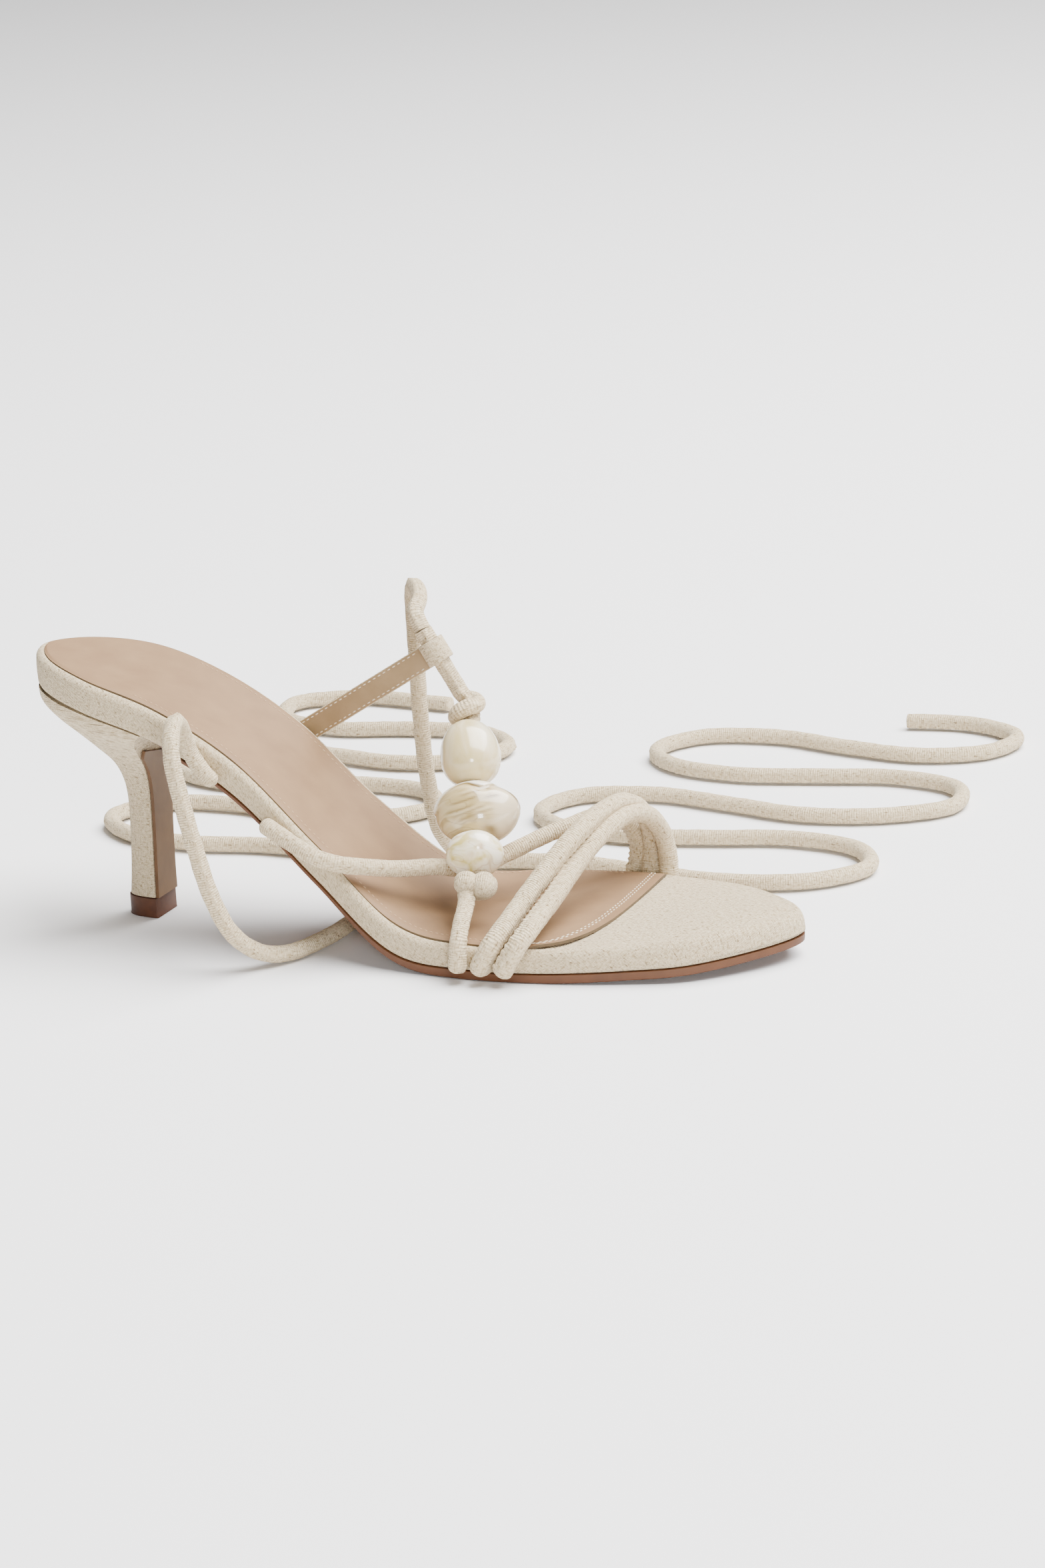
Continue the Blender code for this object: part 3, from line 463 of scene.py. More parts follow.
def carried_sides(line, first_side):
    """A side direction carried along a line without twisting, and the direction across it."""
    ahead = units(np.gradient(line, axis=0))
    side = np.asarray(first_side, float)
    sides = []
    for direction in ahead:
        side = units(side - direction * (side @ direction))
        sides.append(side)
    sides = np.array(sides)
    return sides, np.cross(ahead, sides)


def cord_skin(name, route, first_side, spacing=0.5, around=28, start_round=2.2, end_round=2.2, foot=0.0,
              thick=CORD_RADIUS):
    """A linen-covered cord along a route, with rounded ends and a gathered seam on its first side."""
    dense = smooth_route(route)
    whole = run_of(dense)[-1]
    curl = 1 - np.cos(np.linspace(0.0, math.pi / 2, 6))
    body = np.arange(start_round + spacing, whole - end_round, spacing)
    distances = np.concatenate([curl * start_round, body, whole - curl[::-1] * end_round])
    line = along(dense, distances)
    sides, ups = carried_sides(line, first_side)
    turn = np.linspace(0.0, 2 * math.pi, around + 1)
    near_start = np.clip(1 - distances / start_round, 0.0, 1.0)
    near_end = np.clip(1 - (whole - distances) / end_round, 0.0, 1.0)
    rounding = np.sqrt(np.clip(1 - np.maximum(near_start, near_end) ** 2, 0.0, 1.0))
    uneven = 1 + sum(share * np.sin(distances * rate + start) for share, rate, start in CORD_UNEVEN)
    pressed = 1 + foot * (bell(distances, 0.0, FOOT_MM) + bell(distances, whole, FOOT_MM))
    radius = thick * (rounding * uneven * pressed)[:, None]
    radius = radius * (1 + 0.012 * np.sin(3 * turn + distances[:, None] * 0.35))
    away = np.minimum(turn, 2 * math.pi - turn)
    gather = 0.6 + 0.4 * np.sin(2 * math.pi * distances / GATHER_MM + np.sin(distances * 0.7))
    radius = radius + SEAM_HEIGHT * (rounding * gather)[:, None] * bell(away, 0.0, SEAM_WIDTH)
    groove = bell(away, 2.2 * SEAM_WIDTH, 0.7 * SEAM_WIDTH)
    radius = radius - 0.4 * SEAM_HEIGHT * rounding[:, None] * groove
    out = np.cos(turn)[None, :, None] * sides[:, None, :] + np.sin(turn)[None, :, None] * ups[:, None, :]
    points = line[:, None, :] + radius[:, :, None] * out
    weave = np.stack(np.broadcast_arrays(distances[:, None], turn[None, :] * CORD_RADIUS), axis=2)
    cord = lofted_sheet(name, points, weave)
    bpy.ops.object.shade_smooth_by_angle(angle=math.radians(70))
    return cord


# %% [markdown]
# ## The ties
#
# Two long ties close the shoe round the ankle. Off the foot they fall to the floor and lie there in loose
# curves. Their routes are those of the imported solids: up and over from where they are fixed, down under
# their own weight, then along the floor, cut off at the length of the real tie.

# %% Ties
TIE_LENGTH = 870.0
TIE_FLOOR = 2.75
TIE_STEP = 6.0
TIE_SPACING = 1.1
TIE_AROUND = 22
TIE_CUT_ROUND = 0.5
LOOP_CENTRE = np.array((117.6, 24.2, 78.6))
TAB_FOOT = np.array((77.0, 24.2, 53.8))
PAST_LOOP = 7.0
GAP = 0.3
LATERAL_TIE_FALL = (
    (70.6, -30.2, 50.4), (66, -30.4, 55.2), (63.4, -31.4, 60.6), (63.2, -34.2, 67), (64.4, -39.4, 71.2),
    (66.2, -45.8, 71.4), (68, -51, 67.4), (69.6, -53.2, 60.4), (72.2, -53.6, 49), (75.2, -53.4, 36),
    (78.4, -52.2, 23), (82.6, -48.8, 11.6), (88.2, -42.2, 4.6),
)
LATERAL_TIE_RUN = (
    (93.6, -33.6), (97.2, -20), (98, 0), (94, 24), (84, 45), (66, 58), (40, 62), (14, 59), (-10, 64),
    (-24, 80), (-14, 98), (10, 101), (36, 95), (60, 98), (73, 112), (64, 128), (40, 132), (16, 125),
    (-8, 124), (-27, 134), (-30, 153), (-12, 165), (14, 162), (40, 158), (62, 166), (68, 184),
    (52, 198), (26, 197), (2, 192), (-20, 200), (-26, 219), (-8, 231), (18, 230), (46, 226),
)
MEDIAL_TIE_FALL = (
    (109.6, 32.6, 93), (104.6, 39.6, 94), (101, 46, 87), (99.5, 49.5, 70), (99, 51, 50),
    (99.5, 52.5, 30), (101.5, 55.5, 13), (107, 60, 4.6),
)
MEDIAL_TIE_RUN = (
    (118, 64), (142, 67), (168, 62), (194, 60), (217, 67), (228, 83), (219, 100), (196, 106),
    (170, 101), (144, 97), (121, 102), (108, 117), (114, 135), (137, 142), (163, 137), (190, 131),
    (215, 136), (232, 150), (228, 169), (206, 177), (180, 173), (154, 169), (130, 175), (118, 191),
    (127, 209), (152, 214), (178, 207), (204, 203), (224, 212), (228, 230), (210, 242), (184, 241),
    (158, 236),
)


def tab_directions():
    """Along the tab from the footbed to the loop, and along its width."""
    run = units((LOOP_CENTRE - TAB_FOOT) * (1.0, 0.0, 1.0))
    return run, np.array((-run[2], 0.0, run[0]))


def tie_route(lead, fall, floor_run):
    """The whole route of one tie, cut to its length."""
    route = list(lead) + list(fall) + [(x, y, TIE_FLOOR) for x, y in floor_run]
    dense = smooth_route(route)
    dense[:, 2] = np.maximum(dense[:, 2], TIE_FLOOR)
    return along(dense, np.arange(0.0, TIE_LENGTH + 0.1, TIE_STEP))


def make_tie(name, cad_node, route, first_side, start_round):
    tie = cord_skin(name, route, first_side, TIE_SPACING, TIE_AROUND, start_round, TIE_CUT_ROUND)
    dress(tie, cad_node, "linen", CORD_LINEN)


THROUGH_LOOP = tab_directions()[1]
HIDDEN_END = 0.04
past_loop = LOOP_CENTRE + THROUGH_LOOP * (PAST_LOOP + GAP)
medial_lead = [past_loop, past_loop + THROUGH_LOOP * 4.0]
lateral_route = tie_route([], LATERAL_TIE_FALL, LATERAL_TIE_RUN)
medial_route = tie_route(medial_lead, MEDIAL_TIE_FALL, MEDIAL_TIE_RUN)
make_tie("lateral_tie_cord", "lateral_tie", lateral_route, (0.0, 1.0, 0.2), 2.4)
make_tie("medial_tie_cord", "medial_tie", medial_route, (0.0, -1.0, 0.2), HIDDEN_END)

# %% [markdown]
# ## The last
#
# A shoemaker shapes everything over a last. Its table gives, for each section from the heel to the toe,
# how high the footbed lies, how far it reaches to each side, how high its wrapped side is and how thick
# the sole is. Smooth curves through these few sections give the whole form.

# %% The last and its outline
LAST_COLUMNS = ("x", "top_z", "lateral_y", "medial_y", "side_height", "outsole")
LAST = (
    (0.0, 81.3, 0.0, 0.0, 9.9, 1.1),
    (7.0, 80.2, -13.9, 14.3, 9.8, 1.1),
    (25.0, 76.6, -24.1, 24.8, 9.5, 1.1),
    (50.0, 69.0, -26.4, 23.6, 9.2, 1.1),
    (75.0, 55.4, -27.9, 20.9, 9.4, 1.15),
    (100.0, 33.5, -30.3, 19.8, 9.5, 1.3),
    (125.0, 14.3, -35.4, 23.8, 8.9, 2.1),
    (150.0, 10.95, -38.1, 35.2, 8.2, 2.55),
    (170.0, 10.9, -36.7, 37.7, 8.2, 2.55),
    (195.0, 11.7, -31.2, 34.6, 8.0, 2.4),
    (215.0, 11.9, -23.0, 27.4, 7.1, 2.3),
    (236.0, 12.6, 5.5, 5.5, 5.9, 2.1),
)
SHOE_LENGTH = 236.0
TOE_TIP_Y = 5.5


def last_column(name):
    return np.array([row[LAST_COLUMNS.index(name)] for row in LAST])


def top_z(x):
    return smooth(last_column("x"), last_column("top_z"), x)


def under_z(x):
    return top_z(x) - smooth(last_column("x"), last_column("side_height"), x)


def tread_z(x):
    return np.maximum(0.0, under_z(x) - GAP - smooth(last_column("x"), last_column("outsole"), x))


def outline_sides():
    """Lateral and medial edge of the last in plan, each with the direction inwards."""
    inner = LAST[1:-1]
    lateral = [(row[0], row[2]) for row in inner]
    medial = [(row[0], row[3]) for row in inner]
    loop = [(0.0, 0.0)] + lateral + [(SHOE_LENGTH, TOE_TIP_Y)] + medial[::-1]
    path = smooth_route(loop, True, 40)
    path = np.roll(path, -int(np.argmin(path[:, 0])), axis=0)
    ahead = units(np.roll(path, -1, axis=0) - np.roll(path, 1, axis=0))
    both = np.hstack([path, -ahead[:, 1:], ahead[:, :1]])
    toe = int(np.argmax(path[:, 0]))
    return both[:toe + 1], np.vstack([both[toe:], both[:1]])[::-1]


LATERAL, MEDIAL = outline_sides()
HEEL_END = LATERAL[0, 0]
TOE_END = LATERAL[-1, 0]


def edge(side, x):
    """Plan place of one edge at a distance from the heel, and the direction inwards there."""
    run = np.maximum.accumulate(side[:, 0])
    found = np.stack([np.interp(x, run, side[:, k]) for k in range(4)], axis=1)
    return np.stack([np.asarray(x, float), found[:, 1]], axis=1), units(found[:, 2:])


SURFACE_X = np.linspace(0, SHOE_LENGTH, 400)
SURFACE_RUN = run_of(np.stack([SURFACE_X, top_z(SURFACE_X)], axis=1))


def surface_run(x):
    """Distance along the curved top of the last."""
    return np.interp(x, SURFACE_X, SURFACE_RUN)


def wrapped_board(name, stations, half_section, across, crown):
    """A body with the last's outline. half_section gives pairs of inset and height from the underside up."""
    sides = []
    for line in (LATERAL, MEDIAL):
        base, inward = edge(line, stations)
        rings = []
        for inset, height in half_section(stations):
            plan = base + np.asarray(inset * np.ones_like(stations))[:, None] * inward
            rings.append(np.column_stack([plan, height]))
        sides.append(np.stack(rings, axis=1))
    lateral, medial = sides
    share = np.linspace(0.0, 1.0, across + 1)[1:-1]
    lid = lateral[:, -1:, :] * (1 - share)[None, :, None] + medial[:, -1:, :] * share[None, :, None]
    lid[:, :, 2] += crown(lid[:, :, 0]) * 4 * share * (1 - share)
    keel = (lateral[:, :1, :] + medial[:, :1, :]) / 2
    points = np.concatenate([keel, lateral, lid, medial[:, ::-1, :], keel], axis=1)
    profile = np.linalg.norm(np.diff(np.concatenate([keel, lateral], axis=1), axis=1), axis=2)
    depth = np.cumsum(profile[:, ::-1], axis=1)[:, ::-1]
    weave = []
    for ring_set, line in ((lateral, LATERAL), (medial, MEDIAL)):
        inward = edge(line, stations)[1]
        rim = np.column_stack([surface_run(ring_set[:, -1, 0]), ring_set[:, -1, 1]])
        drop = np.concatenate([depth, np.zeros((len(stations), 1))], axis=1)
        weave.append(rim[:, None, :] - drop[:, :, None] * inward[:, None, :])
    middle = np.stack([surface_run(lid[:, :, 0]), lid[:, :, 1]], axis=2)
    cloth = np.concatenate([weave[0], middle, weave[1][:, ::-1, :]], axis=1)
    return lofted_sheet(name, points, cloth)


def end_spaced(first, last, count):
    """Distances from first to last, close together at both ends."""
    return first + (last - first) * (1 - np.cos(np.linspace(0.0, math.pi, count + 1))) / 2


# %% [markdown]
# ## Footbed
#
# The footbed is a shaped board with linen pulled over its edge and glued under it. Round the sock the
# cloth rolls over the edge and dips under the sheet, which leaves a thin shadow line. At the toe, where no
# sock covers it, the cloth runs on flat over the board and turns down in a fuller curve. The forefoot is
# turned a little, with its outer edge lower, and the toe is lifted a little.

# %% Footbed
RIM_RADIUS = 2.1
TOE_RADIUS = 4.2
TOE_EDGE_INSET = 2.8
GROOVE_DEPTH = 0.7
SOCK_END = 183.0
LATERAL_DROP = 1.3
MEDIAL_RISE = 0.5
TOE_LIFT = 1.1
BALL_HALF_WIDTH = 38.0
BALL_START = (112.0, 142.0)
TOE_START = (192.0, 222.0)
# distances from the heel, and how much the middle of the footbed rises there
CROWN_X = (0.0, 30.0, 110.0, 150.0, 186.0, 205.0, 228.0, SHOE_LENGTH)
CROWN_RISE = (0.0, -1.6, -1.6, -0.6, 0.8, 1.4, 1.0, 0.0)


def under_sock(x):
    """1 where the sock lies, 0 on the bare toe."""
    return 1 - fade(x, SOCK_END - 6, SOCK_END + 5)


def footbed_section(x):
    low = under_z(x)
    rim = TOE_RADIUS + (RIM_RADIUS - TOE_RADIUS) * under_sock(x)
    reach = TOE_EDGE_INSET + (RIM_RADIUS - TOE_EDGE_INSET) * under_sock(x)
    high = top_z(x)
    rows = [(6.0, low), (1.5, low), (0.8, low + 0.22), (0.3, low + 0.65), (0.05, low + 1.3),
            (-0.08, low + 0.45 * (high - rim - low)), (-0.1, low + 0.75 * (high - rim - low))]
    for turn in np.radians(np.linspace(0.0, 90.0, 8)):
        rows.append((reach * (1 - math.cos(turn)), high - rim * (1 - math.sin(turn))))
    dip = GROOVE_DEPTH * under_sock(x)
    rows += [(reach + 0.3, high - 0.3 * dip), (reach + 0.6, high - 0.9 * dip), (reach + 1.2, high - dip),
             (reach + 2.0, high - dip)]
    return rows


def toe_crown(x):
    return np.interp(x, CROWN_X, CROWN_RISE)


def forefoot_roll(x, y):
    """The forefoot is turned a little: its outer edge lies lower than its inner edge."""
    share = fade(x, *BALL_START) * (1 - fade(x, *TOE_START))
    return share * np.where(y < 0, LATERAL_DROP, MEDIAL_RISE) * y / BALL_HALF_WIDTH


footbed = wrapped_board("footbed_linen", end_spaced(HEEL_END, TOE_END, 190), footbed_section, 22, toe_crown)
places = corner_places(footbed.data)
local_x = (places[:, 0] - HEEL_BACK) / MM
wall_foot = under_z(local_x)
up_wall = np.clip((places[:, 2] / MM - wall_foot) / (top_z(local_x) - wall_foot), 0.0, 1.0)
lift = forefoot_roll(local_x, places[:, 1] / MM) + TOE_LIFT * fade(local_x, *TOE_START)
places[:, 2] += MM * up_wall * lift
footbed.data.vertices.foreach_set("co", places.ravel())
footbed.data.update()
dress(footbed, "footbed", "linen", FOOTBED_LINEN)

# %% [markdown]
# ## Outsole
#
# The sole is a brown sheet, thin under the waist and thicker at the ball, cut a little inside the linen.
# Its lower edge is rubbed round, and it is flat on the floor under the ball.

# %% Outsole
OUTSOLE_INSET = 0.1
OUTSOLE_BACK_INSET = 3.5
OUTSOLE_BACK = 45.0
SOLE_SEAM = 0.05


def outsole_section(x):
    low = tread_z(x)
    high = under_z(x) - SOLE_SEAM
    inset = OUTSOLE_INSET + OUTSOLE_BACK_INSET * (1 - fade(x, OUTSOLE_BACK, OUTSOLE_BACK + 12.0))
    return [(8.0, low), (inset + 1.0, low), (inset + 0.45, low + 0.1), (inset + 0.12, low + 0.35),
            (inset, low + 0.4 * (high - low) + 0.2), (inset, high - 0.12), (inset + 0.15, high), (6.0, high)]


sole_stations = OUTSOLE_BACK + (TOE_END - OUTSOLE_BACK) * np.sin(np.linspace(0, math.pi / 2, 150))
outsole = wrapped_board("outsole_sheet", sole_stations, outsole_section, 6, lambda x: 0.0 * x)
bpy.ops.object.mode_set(mode="EDIT")
bpy.ops.mesh.select_all(action="DESELECT")
bpy.ops.mesh.select_non_manifold()
bpy.ops.mesh.fill()
bpy.ops.mesh.select_all(action="SELECT")
bpy.ops.mesh.normals_make_consistent(inside=False)
bpy.ops.object.mode_set(mode="OBJECT")
bpy.ops.object.shade_smooth_by_angle(angle=math.radians(40))
dress(outsole, "outsole", "tan_outsole", OUTSOLE_SHEET)

# %% [markdown]
# ## Sock
#
# The sock is a thin sheet glued into the footbed. It ends at the ball of the foot in a nearly straight
# edge with a rounded outer corner. A double row of stitches runs along that edge, and one row along
# each side.

# %% Sock
SOCK_INSET = 2.6
SOCK_RISE = 0.8
SOCK_ROLL = 0.38
SOCK_SHEET_MM = 0.85
SOCK_FRONT_X = 184.8
SOCK_FRONT = ((0.0, 16.5), (0.06, 9.5), (0.16, 4.2), (0.28, 1.4), (0.45, 0.0), (0.70, 0.2), (1.0, 1.8))
SOCK_HOLLOW_X = (0.0, 30.0, 110.0, 150.0, 190.0)
SOCK_HOLLOW = (0.0, -0.9, -0.9, 0.0, 0.8)
SOCK_LATERAL = LATERAL[:, :2] + SOCK_INSET * LATERAL[:, 2:]
SOCK_MEDIAL = MEDIAL[:, :2] + SOCK_INSET * MEDIAL[:, 2:]


def sock_edge_y(line, x):
    return np.interp(x, np.maximum.accumulate(line[:, 0]), line[:, 1])


def sock_x(reach, back):
    return SOCK_INSET + reach * (SOCK_FRONT_X - back - SOCK_INSET)


def sock_place(reach, share):
    """A place on the sock: reach from heel to front edge, share from the lateral to the medial side."""
    x = sock_x(reach, smooth([row[0] for row in SOCK_FRONT], [row[1] for row in SOCK_FRONT], share))
    low = sock_edge_y(SOCK_LATERAL, sock_x(reach, SOCK_FRONT[0][1]))
    high = sock_edge_y(SOCK_MEDIAL, sock_x(reach, SOCK_FRONT[-1][1]))
    y = low + (high - low) * share
    from_edge = np.minimum(share, 1 - share) * np.maximum(high - low, 0.01)
    hollow = np.interp(x, SOCK_HOLLOW_X, SOCK_HOLLOW) * 4 * share * (1 - share)
    rolled = SOCK_ROLL * (1 - fade(from_edge, 0.0, 1.4))
    z = top_z(x) + SOCK_RISE + hollow - rolled + forefoot_roll(x, y)
    return np.stack([x, y, z], axis=-1)


def make_sock():
    turn = np.linspace(0.0, math.pi / 2, 110)
    reach = (1 - np.cos(turn)) ** 0.9
    share = np.linspace(0.0, 1.0, 61)
    share = share - 0.9 * np.sin(2 * math.pi * share) / (2 * math.pi)
    rows, columns = np.meshgrid(reach, share, indexing="ij")
    upper = sock_place(rows, columns)
    lower = upper[:, ::-1, :] - np.array((0.0, 0.0, SOCK_SHEET_MM))
    closed = np.concatenate([upper, lower, upper[:, :1, :]], axis=1)
    tip = closed[-1:].copy()
    middle = upper[-1] - np.array((0.0, 0.0, SOCK_SHEET_MM / 2))
    tip[0] = np.concatenate([middle, middle[::-1], middle[:1]])
    points = np.concatenate([closed, tip], axis=0)
    sock = lofted_sheet("sock_sheet", points, points[:, :, :2])
    bpy.ops.object.shade_smooth_by_angle(angle=math.radians(50))
    dress(sock, "sock", "tan_sheet", SOCK_SHEET, SOCK_EDGE_AND_SHADE)
    # the edge faces get the dark finish: the raw cut edge and painted shade of the gap beneath it
    second_finish(sock, lambda normal, heights: abs(normal.z) < 0.5)


make_sock()

# %% Stitches on the sock
STITCH_LENGTH = 1.15
STITCH_PITCH = 1.8
STITCH_WIDTH = 0.38
STITCH_LIFT = 0.03
SIDE_ROW_INSET = 2.6
UPWARDS = (0.0, 0.0, 1.0)


def sew(name, rows, facing, slot, finish):
    """Stitches along rows of places: one is modelled, and the rest are copies of its mesh, joined."""
    first = unit_sphere(8, 5)
    size = Matrix.Diagonal((STITCH_LENGTH / 2, STITCH_WIDTH / 2, STITCH_WIDTH / 2, 1.0))
    stitches = []
    for line in rows:
        whole = run_of(line)[-1]
        count = int(whole / STITCH_PITCH)
        starts = (np.arange(count) + 0.2) * whole / count
        for a, b in zip(along(line, starts), along(line, starts + STITCH_LENGTH)):
            ahead = Vector(b - a).normalized()
            side = Vector(facing).cross(ahead).normalized()
            turn = Matrix((ahead, side, ahead.cross(side))).transposed().to_4x4()
            mesh = first.data.copy()
            mesh.transform(Matrix.Translation(to_frame((a + b) / 2)) @ turn @ Matrix.Scale(MM, 4) @ size)
            stitches.append(bpy.data.objects.new(name, mesh))
            bpy.context.collection.objects.link(stitches[-1])
    bpy.data.objects.remove(first, do_unlink=True)
    sewn = join(stitches, name)
    bpy.ops.object.shade_smooth()
    dress(sewn, None, slot, finish)


def sock_front_row(back):
    share = np.linspace(0.03, 0.985, 160)
    line = sock_place(np.full_like(share, 1 - back / SOCK_FRONT_X), share)
    line[:, 2] += STITCH_LIFT
    return line


def sock_side_row(side):
    """A row near one side of the sock: 0 for the lateral side, 1 for the medial side."""
    reach = np.linspace(0.22, 0.93, 300)
    width = sock_place(reach, np.ones_like(reach))[:, 1] - sock_place(reach, np.zeros_like(reach))[:, 1]
    return sock_place(reach, np.abs(side - SIDE_ROW_INSET / width))


sew("sock_stitches", [sock_front_row(3.2), sock_front_row(4.4)], UPWARDS, "tan_sheet", THREAD)
sew("sock_edge_stitches", [sock_side_row(0.0), sock_side_row(1.0)], UPWARDS, "tan_sheet", TAN_THREAD)

# %% [markdown]
# ## Heel
#
# The heel is a slim block, round behind and flat in front, that leans and widens into the seat. Linen is
# glued round its back, a tan sheet covers its flat front, and a rubber tip is nailed under it.

# %% Heel cover
HEEL_MIDDLE = 30.0
SEAT_MIDDLE = 24.0
HEEL_COLUMNS = ("z", "lean", "back_x", "front_x", "half_width")
HEEL = (
    (6.3, 0.0, 24.7, 35.2, 6.1),
    (15.0, 0.0, 25.5, 35.3, 5.9),
    (27.0, 0.0, 26.1, 35.6, 5.8),
    (36.0, 0.0, 26.1, 35.9, 6.1),
    (42.0, -0.03, 25.1, 36.2, 7.0),
    (47.0, -0.08, 22.3, 36.5, 8.8),
    (51.0, -0.13, 16.6, 37.0, 11.6),
    (54.6, -0.17, 10.8, 37.8, 15.2),
    (58.2, -0.20, 4.9, 39.2, 19.4),
    (61.4, -0.22, 1.4, 41.0, 22.4),
    (64.8, -0.24, 0.9, 43.2, 23.4),
)
HEEL_ROUNDNESS = 2.25
SEAM_MM = 0.9
SEAM_DEPTH = 0.9
# added to the cloth's height on the seam, so that its faces can be told apart
SEAM_MARK = 1000.0


def heel_size(name, level):
    """One size of the heel at a level, counted in rows of the table."""
    return smooth(np.arange(len(HEEL)), [row[HEEL_COLUMNS.index(name)] for row in HEEL], level)


def heel_height(level, x):
    z = heel_size("z", level) + heel_size("lean", level) * (x - HEEL_MIDDLE)
    return np.minimum(z, under_z(x) - GAP)


def make_heel():
    levels = np.linspace(0.0, len(HEEL) - 1, 90)[:, None]
    turn = np.linspace(-math.pi / 2, math.pi / 2, 61)[None, :]
    round_x = np.abs(np.cos(turn)) ** (2 / HEEL_ROUNDNESS)
    round_y = np.sign(np.sin(turn)) * np.abs(np.sin(turn)) ** (2 / HEEL_ROUNDNESS)
    front = heel_size("front_x", levels)
    half = heel_size("half_width", levels)
    back = front - (front - heel_size("back_x", levels)) * round_x
    x = np.concatenate([back, np.repeat(front, 8, axis=1)], axis=1)
    y = np.concatenate([half * round_y, half * np.linspace(1.0, -1.0, 9)[None, 1:]], axis=1)
    z = heel_height(np.repeat(levels, x.shape[1], axis=1), x)
    z[-1] = under_z(x[-1]) - GAP
    skin = np.stack([x, y, z], axis=2)
    seam = skin[-1:].copy()
    skin[-1:, :, 2] -= SEAM_MM
    inward = (np.array((SEAT_MIDDLE, 0.0, 0.0)) - seam) * (1.0, 1.0, 0.0)
    pulled = seam + units(inward) * SEAM_DEPTH
    ledge = pulled.copy()
    ledge[:, :, 2] -= SEAM_MM
    skin = np.concatenate([skin, ledge, pulled], axis=0)
    caps = []
    for row in (skin[0], skin[-1]):
        centre = (row.min(axis=0) + row.max(axis=0)) / 2
        centre[2] = row[:, 2].mean()
        caps.append(np.repeat(centre[None, None, :], skin.shape[1], axis=1))
    points = np.concatenate([caps[0], skin, caps[1]], axis=0)
    around = run_of(skin[20][:, :2])
    weave = np.stack(np.broadcast_arrays(around[None, :], points[:, :, 2]), axis=2).copy()
    weave[-3:, :, 1] += SEAM_MARK
    heel = lofted_sheet("heel_cover", points, weave)
    round_edges(heel, 0.6, 3, 60)
    dress(heel, "heel", "linen", HEEL_LINEN, SEAM_SHADE)
    # the faces of the seam groove get the dark finish, painted shade under the footbed's edge
    second_finish(heel, lambda normal, heights: min(heights) > SEAM_MARK)


make_heel()

# %% Breast facing and heel tip
FACING_MM = 1.0
FACING_HALF = 12.9
FACING_TOP = 49.6
FACING_TOP_BOW = 5.6
TIP_MERGE_MM = 0.005


def make_facing():
    share = np.concatenate([np.linspace(-1, 1, 13), np.linspace(1, -1, 13), [-1.0]])
    depth = np.concatenate([np.full(13, GAP), np.full(13, GAP + FACING_MM), [GAP]])
    climb = np.linspace(0.0, 1.0, 80)
    top = FACING_TOP + FACING_TOP_BOW * share ** 2
    z = HEEL[0][0] + climb[:, None] * (top - HEEL[0][0])[None, :]
    level = np.interp(z, [row[0] for row in HEEL], np.arange(len(HEEL)))
    half = np.minimum(heel_size("half_width", level) - 0.1, FACING_HALF)
    x = heel_size("front_x", level) + depth[None, :]
    z = z + heel_size("lean", level) * (x - HEEL_MIDDLE)
    skin = np.stack([x, half * share[None, :], z], axis=2)
    points = capped(skin)
    facing = lofted_sheet("breast_facing_sheet", points, points[:, :, 1:])
    dress(facing, "heel_breast_facing", "tan_sheet", FACING_SHEET, CUT_EDGE)
    second_finish(facing, lambda normal, heights: abs(normal.x) < 0.5)
    bpy.ops.object.shade_smooth_by_angle(angle=math.radians(50))


def make_tip():
    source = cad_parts["heel_tip"]
    tip = source.copy()
    tip.data = source.data.copy()
    tip.name = "heel_tip_rubber"
    bpy.context.collection.objects.link(tip)
    bpy.ops.object.select_all(action="DESELECT")
    tip.select_set(True)
    bpy.context.view_layer.objects.active = tip
    for key in list(tip.keys()):
        del tip[key]
    bpy.ops.object.mode_set(mode="EDIT")
    bpy.ops.mesh.select_all(action="SELECT")
    bpy.ops.mesh.remove_doubles(threshold=TIP_MERGE_MM * MM)
    bpy.ops.mesh.tris_convert_to_quads()
    bpy.ops.object.mode_set(mode="OBJECT")
    round_edges(tip, 0.3, 2, 35)
    dress(tip, "heel_tip", "red_brown_rubber", TIP_RUBBER)


make_facing()
make_tip()

# %% [markdown]
# ## Toe straps and instep strap
#
# Three cords hold the front of the foot. They leave the feather edge of the sole on the lateral side,
# cross the toes and the instep, and come together at the top, where they press against each other.

# %% Upper straps
TOE_STRAP_RADIUS = 2.8
REAR_TOE_STRAP = (
    (154.9, -41.2, 3), (156.7, -41.2, 7.4), (159.3, -40.2, 12.1), (161.1, -34.2, 15.9),
    (162.1, -25, 19.4), (165.2, -12.3, 26.2), (168.6, -1, 32.2), (171.4, 12, 35.9), (173.9, 25, 36.1),
    (175.4, 34.5, 31.4), (175.8, 40.4, 24.6), (175.5, 42.1, 18), (175.3, 41.5, 11.6),
    (175.3, 40.9, 7.2), (175.3, 40.8, 3),
)
FRONT_TOE_STRAP = (
    (161.6, -40.8, 3), (164.2, -40.7, 7.4), (166.9, -39.8, 11.9), (168.7, -35, 15.3),
    (168.9, -27, 17.2), (169.6, -15.8, 20.6), (170.8, -2, 25.9), (173.7, 11.2, 31.4),
    (176.5, 22.9, 33.2), (178.8, 32.2, 30.4), (180.3, 38.8, 23.4), (181.2, 40.5, 16.2),
    (181.4, 40.5, 11), (181.5, 40.2, 7), (181.5, 40, 3),
)
